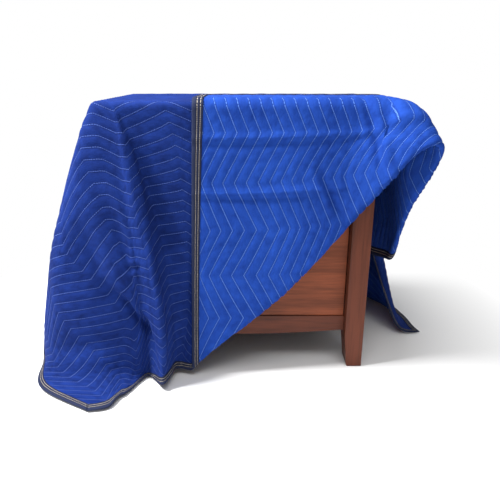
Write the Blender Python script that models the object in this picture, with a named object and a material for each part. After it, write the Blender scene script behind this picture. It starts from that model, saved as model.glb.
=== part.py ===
"""A quilted moving blanket draped over a plain wooden cabinet, with one front corner folded back over the top."""
import math

import bmesh
import bpy
import numpy as np
from mathutils import Vector
from mathutils.geometry import delaunay_2d_cdt

# Blanket sizes in metres
BLANKET_WIDTH = 1.83
BLANKET_LENGTH = 2.03
CLOTH_THICK = 0.004
HEM_THICK = 0.0016
LAYER_STEP = 0.010
TAPE_WIDTH = 0.027
TAPE_THICK = 0.0012
TAPE_GAP = 0.0009
BAND_WIDTH = TAPE_WIDTH

# How far the blanket hangs over the left and front edges, and where its front hem turns up
LEFT_HANG = 0.66
FRONT_HANG = 0.763
FOLD_START = 0.904
SLANT = 0.040
# How far the fold is drawn up at places along it: distance along the width, and the pull
FOLD_PULL = (
    (0.00, 0.000), (0.15, 0.002), (0.25, 0.006), (0.35, 0.018), (0.45, 0.032),
    (0.55, 0.040), (0.65, 0.040), (0.80, 0.030),
)
RIGHT_SLACK = 0.070

# Cabinet sizes in metres
TOP_HEIGHT = 0.76
BOARD_LEFT, BOARD_RIGHT = -0.391, 0.355
BOARD_FRONT, BOARD_BACK = -0.012, 0.450
BOARD_THICK = 0.026
BOARD_ROUNDING = 0.008
LEG_LEFT, LEG_RIGHT = -0.369, 0.333
LEG_FRONT, LEG_BACK = 0.0, 0.438
LEG_WIDTH = 0.055
LEG_DEPTH = 0.075
LEG_FOOT_WIDTH = 0.044
PIECE_GAP = 0.0003
PANEL_RECESS = 0.030
PANEL_THICK = 0.016
RAIL_THICK = 0.022
RAIL_TOP = 0.153
RAIL_SIDE_LOW = 0.108
RAIL_MIDDLE_LOW = 0.094

# The cloth lies flat on the board inside this outline, 6 mm in from the board's edges
CORE_LEFT, CORE_RIGHT = BOARD_LEFT + 0.006, BOARD_RIGHT - 0.006
CORE_FRONT, CORE_BACK = BOARD_FRONT + 0.006, BOARD_BACK - 0.006
CLOTH_ON_TOP = TOP_HEIGHT + PIECE_GAP + CLOTH_THICK / 2
CLOTH_ON_FLOOR = 0.0022

# One row for each thread line that hangs from the outline, going round it.
# base: where it leaves the board; angle: its direction in the flat cloth, in degrees;
# bend: radius over the edge; soft: length in which it turns onto the floor;
# mid and foot: where it is at half height and at the floor; run: its way along the floor.
COLUMNS = (
    "base_x", "base_y", "angle", "bend", "soft",
    "mid_x", "mid_y", "foot_x", "foot_y", "run_x", "run_y",
)
STATIONS = (
    # left side, from the back to the front
    (CORE_LEFT, CORE_BACK, 180, 0.010, 0.03, -0.455, 0.470, -0.510, 0.490, -1.0, 0.0),
    (CORE_LEFT, 0.250, 180, 0.010, 0.03, -0.465, 0.290, -0.530, 0.325, -1.0, 0.0),
    (CORE_LEFT, 0.120, 180, 0.010, 0.03, -0.482, 0.180, -0.555, 0.250, -1.0, 0.0),
    (CORE_LEFT, CORE_FRONT, 180, 0.010, 0.03, -0.515, 0.100, -0.592, 0.185, -1.0, 0.0),
    # front left corner, round to the front
    (CORE_LEFT, CORE_FRONT, 198, 0.012, 0.03, -0.532, 0.042, -0.618, 0.100, -0.9, 0.0),
    (CORE_LEFT, CORE_FRONT, 214, 0.012, 0.04, -0.518, -0.025, -0.598, 0.010, -0.5, -0.5),
    (CORE_LEFT, CORE_FRONT, 223, 0.012, 0.07, -0.480, -0.055, -0.545, -0.040, -0.25, -0.55),
    (CORE_LEFT, CORE_FRONT, 231, 0.012, 0.09, -0.420, -0.065, -0.438, -0.062, 0.28, -0.65),
    (CORE_LEFT, CORE_FRONT, 239, 0.012, 0.07, -0.350, -0.062, -0.352, -0.045, 0.05, -0.80),
    # along the front edge to the start of the tube fold
    (-0.335, CORE_FRONT, 239, 0.010, 0.06, -0.310, -0.062, -0.326, -0.044, 0.0, -0.6),
    (-0.335, CORE_FRONT, 250, 0.010, 0.03, -0.287, -0.068, -0.291, -0.034, 0.1, -0.4),
    (-0.335, CORE_FRONT, 256, 0.010, 0.03, -0.270, -0.075, -0.267, -0.070, 0.1, -0.6),
    (-0.335, CORE_FRONT, 261, 0.010, 0.03, -0.257, -0.070, -0.242, -0.108, 0.1, -0.8),
    (-0.335, CORE_FRONT, 266, 0.010, 0.03, -0.247, -0.050, -0.227, -0.076, 0.1, -0.6),
    (-0.335, CORE_FRONT, 270, 0.010, 0.03, -0.240, -0.032, -0.223, -0.050, 0.0, -0.8),
    # front
    (-0.245, CORE_FRONT, 270, 0.010, 0.03, -0.208, -0.019, -0.204, -0.018, 0.0, -1.0),
    (-0.145, CORE_FRONT, 270, 0.010, 0.03, -0.157, -0.018, -0.168, -0.026, 0.0, -1.0),
    (0.100, CORE_FRONT, 270, 0.010, 0.03, 0.100, -0.017, 0.100, -0.018, 0.0, -1.0),
    (0.280, CORE_FRONT, 270, 0.012, 0.03, 0.282, -0.017, 0.282, -0.018, 0.0, -1.0),
    (CORE_RIGHT, CORE_FRONT, 270, 0.030, 0.03, 0.352, -0.017, 0.355, -0.018, 0.0, -1.0),
    # front right corner, where the doubled cloth stands off as a peak
    (CORE_RIGHT, CORE_FRONT, 300, 0.080, 0.03, 0.480, -0.080, 0.610, -0.150, 0.0, -1.0),
    (CORE_RIGHT, CORE_FRONT, 328, 0.120, 0.03, 0.565, -0.160, 0.800, -0.300, 1.0, 0.0),
    (CORE_RIGHT, CORE_FRONT, 345, 0.085, 0.03, 0.458, -0.060, 0.570, -0.120, 1.0, 0.0),
    (CORE_RIGHT, CORE_FRONT, 360, 0.050, 0.03, 0.405, 0.010, 0.450, 0.010, 1.0, 0.0),
    # right side
    (CORE_RIGHT, 0.180, 360, 0.030, 0.03, 0.392, 0.185, 0.425, 0.180, 1.0, 0.0),
    (CORE_RIGHT, 0.300, 360, 0.015, 0.03, 0.368, 0.272, 0.380, 0.235, 1.0, 0.0),
    (CORE_RIGHT, CORE_BACK, 360, 0.010, 0.03, 0.366, 0.346, 0.372, 0.250, 1.0, 0.0),
    # back right corner, swung forward along the side
    (CORE_RIGHT, CORE_BACK, 380, 0.010, 0.03, 0.380, 0.356, 0.392, 0.240, 0.8, -0.3),
    (CORE_RIGHT, CORE_BACK, 402, 0.012, 0.03, 0.398, 0.348, 0.436, 0.186, 0.8, -0.4),
    (CORE_RIGHT, CORE_BACK, 414, 0.012, 0.04, 0.410, 0.346, 0.468, 0.172, 0.7, -0.2),
    (CORE_RIGHT, CORE_BACK, 423, 0.012, 0.05, 0.420, 0.356, 0.492, 0.198, 0.7, 0.0),
    (CORE_RIGHT, CORE_BACK, 433, 0.012, 0.04, 0.424, 0.395, 0.494, 0.295, 0.8, 0.2),
    (CORE_RIGHT, CORE_BACK, 442, 0.010, 0.03, 0.408, 0.440, 0.468, 0.405, 0.8, 0.4),
    (CORE_RIGHT, CORE_BACK, 450, 0.010, 0.03, 0.362, 0.485, 0.380, 0.530, 0.1, 1.0),
    # back
    (0.150, CORE_BACK, 450, 0.010, 0.03, 0.160, 0.490, 0.160, 0.520, 0.0, 1.0),
    (-0.120, CORE_BACK, 450, 0.010, 0.03, -0.120, 0.480, -0.120, 0.500, 0.0, 1.0),
    (CORE_LEFT, CORE_BACK, 450, 0.010, 0.03, -0.375, 0.495, -0.360, 0.540, 0.0, 1.0),
    # back left corner
    (CORE_LEFT, CORE_BACK, 472, 0.012, 0.04, -0.430, 0.552, -0.450, 0.630, 0.0, 1.0),
    (CORE_LEFT, CORE_BACK, 495, 0.014, 0.06, -0.555, 0.600, -0.650, 0.700, -0.7, 0.7),
    (CORE_LEFT, CORE_BACK, 518, 0.012, 0.04, -0.530, 0.508, -0.605, 0.560, -1.0, 0.0),
    (CORE_LEFT, CORE_BACK, 540, 0.010, 0.03, -0.455, 0.470, -0.510, 0.490, -1.0, 0.0),
)
KEY_FOR_DEGREE = 0.006


def column(name):
    """One column of the table as an array."""
    place = COLUMNS.index(name)
    return np.array([row[place] for row in STATIONS], float)


def station_keys():
    """Running length of the rows round the outline, with a turn counted by its degrees."""
    along = np.hypot(np.diff(column("base_x")), np.diff(column("base_y")))
    steps = along + KEY_FOR_DEGREE * np.abs(np.diff(column("angle")))
    return np.concatenate([[0.0], np.cumsum(steps)])


def smooth_between(keys, values, at):
    """Smooth curve through the rows' values, closed round the outline."""
    gap = np.diff(keys)
    rise = np.diff(values) / gap
    gap_before = np.concatenate([[gap[-1]], gap])
    gap_after = np.concatenate([gap, [gap[0]]])
    rise_before = np.concatenate([[rise[-1]], rise])
    rise_after = np.concatenate([rise, [rise[0]]])
    slope = (rise_before * gap_after + rise_after * gap_before) / (gap_before + gap_after)
    i = np.clip(np.searchsorted(keys, at, side="right") - 1, 0, len(gap) - 1)
    t = (at - keys[i]) / gap[i]
    start = values[i] * (2 * t**3 - 3 * t**2 + 1) + gap[i] * slope[i] * (t**3 - 2 * t**2 + t)
    end = values[i + 1] * (3 * t**2 - 2 * t**3) + gap[i] * slope[i + 1] * (t**3 - t**2)
    return start + end


def find_thread(x, y):
    """Which hanging line passes each flat place off the board, and how far out along it."""
    keys = station_keys()
    base_x, base_y = column("base_x"), column("base_y")
    angle = np.radians(column("angle"))
    key = np.full(x.shape, np.nan)
    reach = np.zeros(x.shape)
    for i in range(len(keys) - 1):
        dx, dy = x - base_x[i], y - base_y[i]
        if angle[i] != angle[i + 1]:
            turn = np.mod(np.arctan2(dy, dx) - angle[i] + 1e-9, 2 * math.pi) - 1e-9
            t = turn / (angle[i + 1] - angle[i])
            r = np.hypot(dx, dy)
        else:
            c, s = math.cos(angle[i]), math.sin(angle[i])
            edge_x, edge_y = base_x[i + 1] - base_x[i], base_y[i + 1] - base_y[i]
            across = edge_x * s - edge_y * c
            t = (dx * s - dy * c) / across
            r = (edge_x * dy - edge_y * dx) / across
        take = (t >= -1e-9) & (t <= 1 + 1e-9) & (r >= -1e-9) & np.isnan(key)
        key = np.where(take, keys[i] + np.clip(t, 0, 1) * (keys[i + 1] - keys[i]), key)
        reach = np.where(take, np.maximum(r, 0), reach)
    return np.where(np.isnan(key), 0, key), reach


def hanging(key, reach):
    """Places on the hanging lines: over the edge, down to the floor, and along it."""
    keys = station_keys()
    row = {name: smooth_between(keys, column(name), key) for name in COLUMNS[3:]}
    row["bend"] = np.maximum(row["bend"], column("bend").min())
    base_x = np.interp(key, keys, column("base_x"))
    base_y = np.interp(key, keys, column("base_y"))
    way = np.radians(np.interp(key, keys, column("angle")))
    out = np.stack([np.cos(way), np.sin(way), 0 * way], -1)
    mid = np.stack([row["mid_x"] - base_x, row["mid_y"] - base_y], -1)
    foot = np.stack([row["foot_x"] - base_x, row["foot_y"] - base_y], -1)
    first, second = 4 * mid - foot, 2 * foot - 4 * mid
    drop = CLOTH_ON_TOP - CLOTH_ON_FLOOR
    # the turn over the board's edge, an arc from level to the line's first direction
    start = np.concatenate([first, np.full(key.shape + (1,), -drop)], -1)
    start /= np.linalg.norm(start, axis=-1, keepdims=True)
    cosine = np.clip((out * start).sum(-1), -0.999, 0.999)
    bend = np.arccos(cosine)
    down = start - cosine[..., None] * out
    down /= np.linalg.norm(down, axis=-1, keepdims=True)
    turned = np.clip(reach / row["bend"], 0, bend)
    ahead = row["bend"] * np.sin(turned)
    below = row["bend"] * (1 - np.cos(turned))
    place = ahead[..., None] * out + below[..., None] * down
    fall = drop + row["bend"] * (1 - np.cos(bend)) * down[..., 2]
    left = reach - row["bend"] * bend
    # the hanging part, a parabola in the share of the height that it has fallen
    share = np.linspace(0, 1, 25)
    slope = first[..., None, :] + 2 * second[..., None, :] * share[:, None]
    speed = np.sqrt((slope**2).sum(-1) + fall[..., None] ** 2)
    steps = (speed[..., 1:] + speed[..., :-1]) / 2 * share[1]
    length = np.concatenate([np.zeros(key.shape + (1,)), np.cumsum(steps, -1)], -1)
    whole, soft = length[..., -1], row["soft"]
    over = 0.5 * ((left - whole) + np.sqrt((left - whole) ** 2 + soft**2))
    over -= 0.5 * (np.sqrt(whole**2 + soft**2) - whole)
    over = np.where(left > 0, np.clip(over, 0, None), 0)
    hang = np.clip(left - over, 0, None)
    i = np.clip((length < hang[..., None]).sum(-1) - 1, 0, len(share) - 2)
    low = np.take_along_axis(length, i[..., None], -1)[..., 0]
    high = np.take_along_axis(length, i[..., None] + 1, -1)[..., 0]
    fallen = np.clip(share[i] + (hang - low) / (high - low) * share[1], 0, 1.02)[..., None]
    run = np.stack([row["run_x"], row["run_y"]], -1)
    place[..., :2] += first * fallen + second * fallen**2 + run * over[..., None]
    place[..., 2] -= fall * fallen[..., 0]
    return place + np.stack([base_x, base_y, np.full(key.shape, CLOTH_ON_TOP)], -1)


def eased(share):
    """0 to 1, level at both ends."""
    share = np.clip(share, 0, 1)
    return share * share * (3 - 2 * share)


# Folds of the hanging front beside the tube: places in the flat cloth from the top down,
# how far each stands out from the plain drape, and its half width on its left and right side
FOLD_COLUMNS = ("p", "q", "lift", "left", "right")
FOLD_WAY = (-0.25, -0.97, 0.0)
FOLDS = {
    "valley": (
        (0.470, 0.600, 0.000, 0.030, 0.060),
        (0.450, 0.535, -0.008, 0.030, 0.065),
        (0.415, 0.460, -0.016, 0.030, 0.070),
        (0.375, 0.395, -0.022, 0.028, 0.075),
        (0.370, 0.330, -0.026, 0.026, 0.075),
        (0.400, 0.265, -0.028, 0.026, 0.075),
        (0.500, 0.185, -0.026, 0.026, 0.070),
        (0.525, 0.120, -0.016, 0.026, 0.060),
        (0.545, 0.040, 0.000, 0.026, 0.050),
    ),
    "beside the ridge": (
        (0.715, 0.660, 0.000, 0.060, 0.022),
        (0.700, 0.570, -0.010, 0.060, 0.022),
        (0.684, 0.425, -0.016, 0.060, 0.022),
        (0.664, 0.315, -0.016, 0.055, 0.022),
        (0.650, 0.205, -0.012, 0.050, 0.020),
        (0.640, 0.050, 0.000, 0.050, 0.020),
    ),
    "beside the cone": (
        (0.600, 0.680, 0.000, 0.040, 0.030),
        (0.560, 0.600, -0.008, 0.040, 0.030),
        (0.525, 0.500, -0.008, 0.040, 0.030),
        (0.490, 0.400, 0.000, 0.040, 0.030),
    ),
}


def fold_lift(p, q):
    """How far the hand-placed folds stand out from the plain drape."""
    total = np.zeros(np.shape(p))
    for rows in FOLDS.values():
        nearest = np.full(np.shape(p), np.inf)
        lift = np.zeros(np.shape(p))
        for low, high in zip(rows[:-1], rows[1:]):
            way_p, way_q = high[0] - low[0], high[1] - low[1]
            length = math.hypot(way_p, way_q)
            share = ((p - low[0]) * way_p + (q - low[1]) * way_q) / length**2
            share = np.clip(share, 0, 1)
            off = np.hypot(p - low[0] - share * way_p, q - low[1] - share * way_q)
            side = way_p * (q - low[1]) - way_q * (p - low[0]) > 0
            here = {name: a + share * (b - a) for name, a, b in zip(FOLD_COLUMNS, low, high)}
            width = np.where(side, here["left"], here["right"])
            take = off < nearest
            lift = np.where(take, here["lift"] * np.exp(-((off / width) ** 2)), lift)
            nearest = np.where(take, off, nearest)
        total = total + lift
    return total


def draped(p, q):
    """Where the blanket's flat places lie before its corner is folded back."""
    slack = eased((p - 1.36) / 0.47) * eased((q - 0.60) / 0.30) * eased((1.35 - q) / 0.35)
    x = CORE_LEFT + p - LEFT_HANG + RIGHT_SLACK * slack
    y = CORE_FRONT + q - FRONT_HANG
    on_board = (x >= CORE_LEFT) & (x <= CORE_RIGHT) & (y >= CORE_FRONT) & (y <= CORE_BACK)
    key, reach = find_thread(np.where(on_board, CORE_LEFT, x), np.where(on_board, CORE_FRONT, y))
    top = np.stack([x, y, np.full(x.shape, CLOTH_ON_TOP)], -1)
    place = np.where(on_board[..., None], top, hanging(key, reach))
    # the diagonal fold is drawn up and to the left where it nears the peak
    along = (p - FOLD_START + q) / 2
    across = (p - FOLD_START - q) / math.sqrt(2)
    pull = np.interp(along, *zip(*FOLD_PULL)) * eased((FRONT_HANG - q - 0.01) / 0.18)
    pull *= np.exp(-((across / 0.24) ** 2))
    place[..., 0] -= 0.7 * pull
    place[..., 2] += 0.7 * pull
    return place


def outward(p, q):
    """Direction that the outer face of the draped cloth looks in."""
    step = 0.002
    along_width = draped(p + step, q) - draped(p - step, q)
    along_length = draped(p, q + step) - draped(p, q - step)
    way = np.cross(along_width, along_length)
    return way / np.maximum(np.linalg.norm(way, axis=-1, keepdims=True), 1e-12)


TURN_RADIUS = LAYER_STEP / 2
TURN_HALF = math.pi * TURN_RADIUS / 2


def folded(p, q, rise):
    """Places of the finished cloth, rise above its middle on the outer face's side."""
    u = (p - q - FOLD_START) / math.sqrt(2)
    turned = np.clip((u + TURN_HALF) / TURN_RADIUS, 0, math.pi)
    in_turn = -TURN_HALF + (TURN_RADIUS - rise) * np.sin(turned)
    across = np.where(u < -TURN_HALF, u, np.where(u > TURN_HALF, -u, in_turn))
    height = TURN_RADIUS - (TURN_RADIUS - rise) * np.cos(turned)
    shift = (across - u) / math.sqrt(2)
    place = draped(p + shift, q - shift) + outward(p + shift, q - shift) * height[..., None]
    place += fold_lift(p, q)[..., None] * np.array(FOLD_WAY)
    # left of the flap the hanging cloth slants to the right, most at half height
    clear = np.clip(-u / 0.20, 0, 1)
    clear = clear * clear * (3 - 2 * clear)
    across_front = np.interp(p, [0.72, 0.80, 0.95, 1.30], [0, 1, 1, 0])
    fallen = np.clip(1 - q / FRONT_HANG, 0, 1)
    place[..., 0] += SLANT * clear * across_front * np.sin(math.pi * fallen**0.8)
    return place


# The four hems: where each starts, its way along, its way into the cloth, and its length
HEMS = {
    "front_binding": ((0, 0), (1, 0), (0, 1), BLANKET_WIDTH),
    "right_binding": ((BLANKET_WIDTH, 0), (0, 1), (-1, 0), BLANKET_LENGTH),
    "back_binding": ((BLANKET_WIDTH, BLANKET_LENGTH), (-1, 0), (0, -1), BLANKET_WIDTH),
    "left_binding": ((0, BLANKET_LENGTH), (0, -1), (1, 0), BLANKET_LENGTH),
}
BOARD_WIDE = CORE_RIGHT - CORE_LEFT
BOARD_DEEP = CORE_BACK - CORE_FRONT
FOLD_END = BLANKET_WIDTH - FOLD_START
TURN_STEPS = np.array([-1, -0.5, 0, 0.5, 1]) * TURN_HALF * math.sqrt(2)


def close_samples(name):
    """Places along a hem that need a section of their own: the fold's turn and the board's edges."""
    if name == "front_binding":
        crossing = FOLD_START + FRONT_HANG
        return FOLD_START + TURN_STEPS, crossing + np.array([-0.016, -0.008, 0.0])
    if name == "right_binding":
        crossing = LEFT_HANG + BOARD_WIDE - FOLD_START
        return FOLD_END + TURN_STEPS, crossing + np.array([0.0, 0.03, 0.06])
    return np.array([]), np.array([])


def hem_spacing(name, place):
    """Sections stand closer where the hem runs round a corner fold."""
    folds = {
        "front_binding": (0.15, 0.72),
        "right_binding": (1.45, 2.03),
        "back_binding": (0.0, 0.0),
        "left_binding": (0.0, 0.40),
    }
    low, high = folds[name]
    if low <= place < high:
        return 0.020
    if name == "back_binding" and place > 0.45 or name == "left_binding" and place < 1.30:
        return 0.048
    if name == "right_binding" and place < 1.25:
        return 0.048
    return 0.030


def hem_sections(name):
    """Sections along a hem: how far along, and how much each leans along it with depth."""
    length = HEMS[name][3]
    turn, edge = close_samples(name)
    fixed = np.concatenate([[0.0], turn, edge, [length]])
    fixed.sort()
    places = []
    for a, b in zip(fixed[:-1], fixed[1:]):
        here = a
        while here < b - 1e-6:
            places.append(here)
            rest = b - here
            here += rest / max(1, round(rest / hem_spacing(name, here)))
    places = np.array(places + [length])
    lean = np.clip(1 - places / 0.18, 0, 1) - np.clip(1 - (length - places) / 0.18, 0, 1)
    if len(turn):
        sign = 1 if name == "front_binding" else -1
        away = np.maximum(np.abs(places - turn[2]) - TURN_STEPS[-1], 0)
        lean = lean + sign * np.clip(1 - away / 0.18, 0, 1)
    return places, lean


def hem_place(name, along, depth):
    """Flat place at a distance along a hem and a depth into the cloth."""
    start, way, into, _ = HEMS[name]
    p = start[0] + along * way[0] + depth * into[0]
    q = start[1] + along * way[1] + depth * into[1]
    return p, q


def line_points(start, end, spacing):
    """Evenly spaced flat places on a line, both ends included."""
    start, end = np.array(start, float), np.array(end, float)
    count = max(2, round(float(np.linalg.norm(end - start)) / spacing))
    return [tuple(start + (end - start) * k / count) for k in range(count + 1)]


def bend_lines():
    """Lines in the flat cloth where it turns over the board's edges and at the fold."""
    left, right = LEFT_HANG, LEFT_HANG + BOARD_WIDE
    front, back = FRONT_HANG, FRONT_HANG + BOARD_DEEP
    flap_front, flap_right = FOLD_START + front, right - FOLD_START
    low, free = BAND_WIDTH, BAND_WIDTH + 0.012
    lines = []
    for u in TURN_STEPS:
        lines.append(((FOLD_START + low + u, low), (BLANKET_WIDTH - low, FOLD_END - low - u)))
    for out in (0.0, 0.008, 0.016):
        lines.append(((left - out, front), (left - out, back)))
        lines.append(((right + out, right + out - FOLD_START + 0.03), (right + out, back)))
        lines.append(((left, front - out), (FOLD_START + front - out - 0.03, front - out)))
        lines.append(((left, back + out), (right, back + out)))
        lines.append(((flap_front - out, free), (flap_front - out, flap_right)))
    for out in (0.0, 0.03, 0.06):
        lines.append(((flap_front, flap_right + out), (BLANKET_WIDTH - free, flap_right + out)))
    fold = [line_points(a, b, 0.036) for a, b in lines[:len(TURN_STEPS)]]
    return fold + [line_points(a, b, 0.050) for a, b in lines[len(TURN_STEPS):]]


def corner_points():
    """Flat places close round the board's four corners."""
    left, right = LEFT_HANG, LEFT_HANG + BOARD_WIDE
    front, back = FRONT_HANG, FRONT_HANG + BOARD_DEEP
    corners = (((left, front), 180), ((right, front), 270), ((right, back), 0), ((left, back), 90))
    points = []
    for apex, start in corners:
        for radius, turns in ((0.010, 4), (0.024, 6)):
            for k in range(1, turns):
                angle = math.radians(start + 90 * k / turns)
                points.append((apex[0] + radius * math.cos(angle), apex[1] + radius * math.sin(angle)))
    return points


def spacing_at(p, q):
    """How far apart the filling is: wide on the board and the plain sides, close at the corners."""
    if p - q > FOLD_START:
        p, q = FOLD_START + q, p - FOLD_START
    x, y = p - LEFT_HANG, q - FRONT_HANG
    if 0.06 < x < BOARD_WIDE - 0.06 and 0.06 < y < BOARD_DEEP - 0.06:
        return 0.110
    if x < 0.20 and y < 0:
        return 0.034
    if x > BOARD_WIDE - 0.08 and y < 0.12:
        return 0.029
    if x > BOARD_WIDE and y > BOARD_DEEP:
        return 0.040
    if y > BOARD_DEEP:
        return 0.065
    return 0.055


class Scatter:
    """Flat places sorted into squares, to find out quickly what lies near."""

    def __init__(self):
        self.squares = {}
        self.size = 0.03

    def add(self, place):
        square = (int(place[0] / self.size), int(place[1] / self.size))
        self.squares.setdefault(square, []).append(place)

    def near(self, place, least):
        reach = int(least / self.size) + 1
        i, j = int(place[0] / self.size), int(place[1] / self.size)
        for a in range(i - reach, i + reach + 1):
            for b in range(j - reach, j + reach + 1):
                for other in self.squares.get((a, b), ()):
                    if math.hypot(other[0] - place[0], other[1] - place[1]) < least:
                        return True
        return False


def filled_points(lines):
    """An even filling between the bend lines, none too close to a line or to another."""
    on_lines, kept = Scatter(), Scatter()
    for line in lines:
        for a, b in zip(line[:-1], line[1:]):
            for place in line_points(a, b, 0.010):
                on_lines.add(place)
    points = []
    for place in corner_points():
        if not on_lines.near(place, 0.004):
            points.append(place)
            kept.add(place)
    for wanted in (0.029, 0.034, 0.040, 0.055, 0.065, 0.110):
        step = wanted * 0.96
        low = BAND_WIDTH + 0.4 * wanted
        for j in range(int(BLANKET_LENGTH / (step * 0.866)) + 1):
            for i in range(int(BLANKET_WIDTH / step) + 1):
                place = ((i + 0.5 * (j % 2)) * step, j * step * 0.866)
                if spacing_at(*place) != wanted:
                    continue
                inside = low < place[0] < BLANKET_WIDTH - low and low < place[1] < BLANKET_LENGTH - low
                if not inside or on_lines.near(place, 0.36 * wanted) or kept.near(place, 0.60 * wanted):
                    continue
                points.append(place)
                kept.add(place)
    return points


def cloth_mesh():
    """Flat triangles of the whole blanket, its places and its outer loop."""
    places, rim, inner = [], [], []
    for name in HEMS:
        along, lean = hem_sections(name)
        for a, k in zip(along[:-1], lean[:-1]):
            rim.append(len(places))
            places.append(hem_place(name, a, 0.0))
            inner.append(len(places))
            places.append(hem_place(name, a + k * BAND_WIDTH, BAND_WIDTH))
    triangles = []
    for i in range(len(rim)):
        j = (i + 1) % len(rim)
        triangles.append((rim[i], rim[j], inner[j]))
        triangles.append((rim[i], inner[j], inner[i]))
    points = [Vector(places[k]) for k in inner]
    count = len(points)
    edges = [(k, (k + 1) % count) for k in range(count)]
    lines = bend_lines()
    for line in lines:
        first = len(points)
        points.extend(Vector(place) for place in line)
        edges.extend((k, k + 1) for k in range(first, len(points) - 1))
    points.extend(Vector(place) for place in filled_points(lines))
    found = delaunay_2d_cdt(points, edges, [], 1, 1e-6)
    index = {}
    for k, place in enumerate(found[0]):
        source = [s for s in found[3][k] if s < count]
        if source:
            index[k] = inner[source[0]]
        else:
            index[k] = len(places)
            places.append((place[0], place[1]))
    for face in found[2]:
        a, b, c = (index[k] for k in face)
        pa, pb, pc = places[a], places[b], places[c]
        turn = (pb[0] - pa[0]) * (pc[1] - pa[1]) - (pb[1] - pa[1]) * (pc[0] - pa[0])
        triangles.append((a, b, c) if turn > 0 else (a, c, b))
    return np.array(places), triangles, rim, set(rim) | set(inner)


def make_object(name, points, faces, material):
    mesh = bpy.data.meshes.new(name)
    mesh.from_pydata([tuple(point) for point in points], [], faces)
    mesh.materials.append(material)
    mesh.update()
    thing = bpy.data.objects.new(name, mesh)
    bpy.context.scene.collection.objects.link(thing)
    return thing


def make_material(name, colour, roughness):
    material = bpy.data.materials.new(name)
    material.use_nodes = True
    shader = material.node_tree.nodes["Principled BSDF"]
    shader.inputs["Base Color"].default_value = (*colour, 1)
    shader.inputs["Roughness"].default_value = roughness
    material.diffuse_color = (*colour, 1)
    return material


def make_quilt(material):
    """The quilted cloth: one closed sheet, thinner inside the binding."""
    places, triangles, rim, thin = cloth_mesh()
    half = np.array([HEM_THICK / 2 if k in thin else CLOTH_THICK / 2 for k in range(len(places))])
    upper = folded(places[:, 0], places[:, 1], half)
    lower = folded(places[:, 0], places[:, 1], -half)
    count = len(places)
    faces = list(triangles)
    faces += [(c + count, b + count, a + count) for a, b, c in triangles]
    for i in range(len(rim)):
        a, b = rim[i], rim[(i + 1) % len(rim)]
        faces.append((a, a + count, b + count))
        faces.append((a, b + count, b))
    return make_object("quilted_cloth", np.concatenate([upper, lower]), faces, material)


def make_binding(name, material):
    """One binding tape, folded round its hem, with a mitred end at each corner."""
    near, far = HEM_THICK / 2 + TAPE_GAP, HEM_THICK / 2 + TAPE_GAP + TAPE_THICK
    edge = -TAPE_GAP
    section = (
        (TAPE_WIDTH, far), (edge - TAPE_THICK, far), (edge - TAPE_THICK, -far), (TAPE_WIDTH, -far),
        (TAPE_WIDTH, -near), (edge, -near), (edge, near), (TAPE_WIDTH, near),
    )
    along, lean = hem_sections(name)
    length = HEMS[name][3]
    mitre = PIECE_GAP * 0.7
    rings = []
    for a, k in zip(along, lean):
        depth = np.array([d for d, _ in section])
        rise = np.array([r for _, r in section])
        here = a + k * depth
        if a == 0:
            here = here + mitre
        if a == length:
            here = here - mitre
        p, q = hem_place(name, here, depth)
        rings.append(folded(p, q, rise))
    points = np.concatenate(rings)
    size = len(section)
    faces = []
    for i in range(len(rings) - 1):
        for j in range(size):
            a, b = i * size + j, i * size + (j + 1) % size
            c, d = b + size, a + size
            if j in (0, 4):
                faces += [(a, b, d), (b, c, d)]
            else:
                faces += [(a, b, c), (a, c, d)]
    for start, flip in ((0, False), ((len(rings) - 1) * size, True)):
        cap = [(0, 1, 6), (0, 6, 7), (1, 2, 5), (1, 5, 6), (2, 3, 4), (2, 4, 5)]
        for a, b, c in cap:
            faces.append((start + a, start + b, start + c) if flip else (start + c, start + b, start + a))
    thing = make_object(name, points, faces, material)
    return thing


def make_block(name, low, high, material, rounding=0.0, segments=2, taper=None):
    """A straight wooden piece between two corners, with rounded edges where asked."""
    work = bmesh.new()
    bmesh.ops.create_cube(work, size=1)
    centre = [(a + b) / 2 for a, b in zip(low, high)]
    for vert in work.verts:
        vert.co = Vector([c + v * (b - a) for c, v, a, b in zip(centre, vert.co, low, high)])
    if rounding:
        bmesh.ops.bevel(work, geom=work.edges[:], offset=rounding, segments=segments, profile=0.5, affect="EDGES")
    if taper:
        taper(work)
    bmesh.ops.triangulate(work, faces=work.faces)
    bmesh.ops.recalc_face_normals(work, faces=work.faces)
    mesh = bpy.data.meshes.new(name)
    work.to_mesh(mesh)
    work.free()
    mesh.materials.append(material)
    thing = bpy.data.objects.new(name, mesh)
    bpy.context.scene.collection.objects.link(thing)
    return thing


def make_leg(name, left, front, material):
    """A square post, narrower on its inner side below the rail."""
    inner_sign = 1 if left < 0 else -1
    low = (left, front, 0.0)
    high = (left + LEG_WIDTH, front + LEG_DEPTH, TOP_HEIGHT - BOARD_THICK - PIECE_GAP)

    def taper(work):
        bmesh.ops.bisect_plane(
            work, geom=work.verts[:] + work.edges[:] + work.faces[:],
            plane_co=(0, 0, RAIL_SIDE_LOW - 0.004), plane_no=(0, 0, 1),
        )
        for vert in work.verts:
            inner = left + LEG_WIDTH if inner_sign > 0 else left
            depth = 1 - vert.co.z / (RAIL_SIDE_LOW - 0.004)
            if depth > 0.01 and abs(vert.co.x - inner) < LEG_WIDTH / 2:
                vert.co.x -= inner_sign * (LEG_WIDTH - LEG_FOOT_WIDTH) * depth

    return make_block(name, low, high, material, 0.0025, 2, taper)


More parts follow.
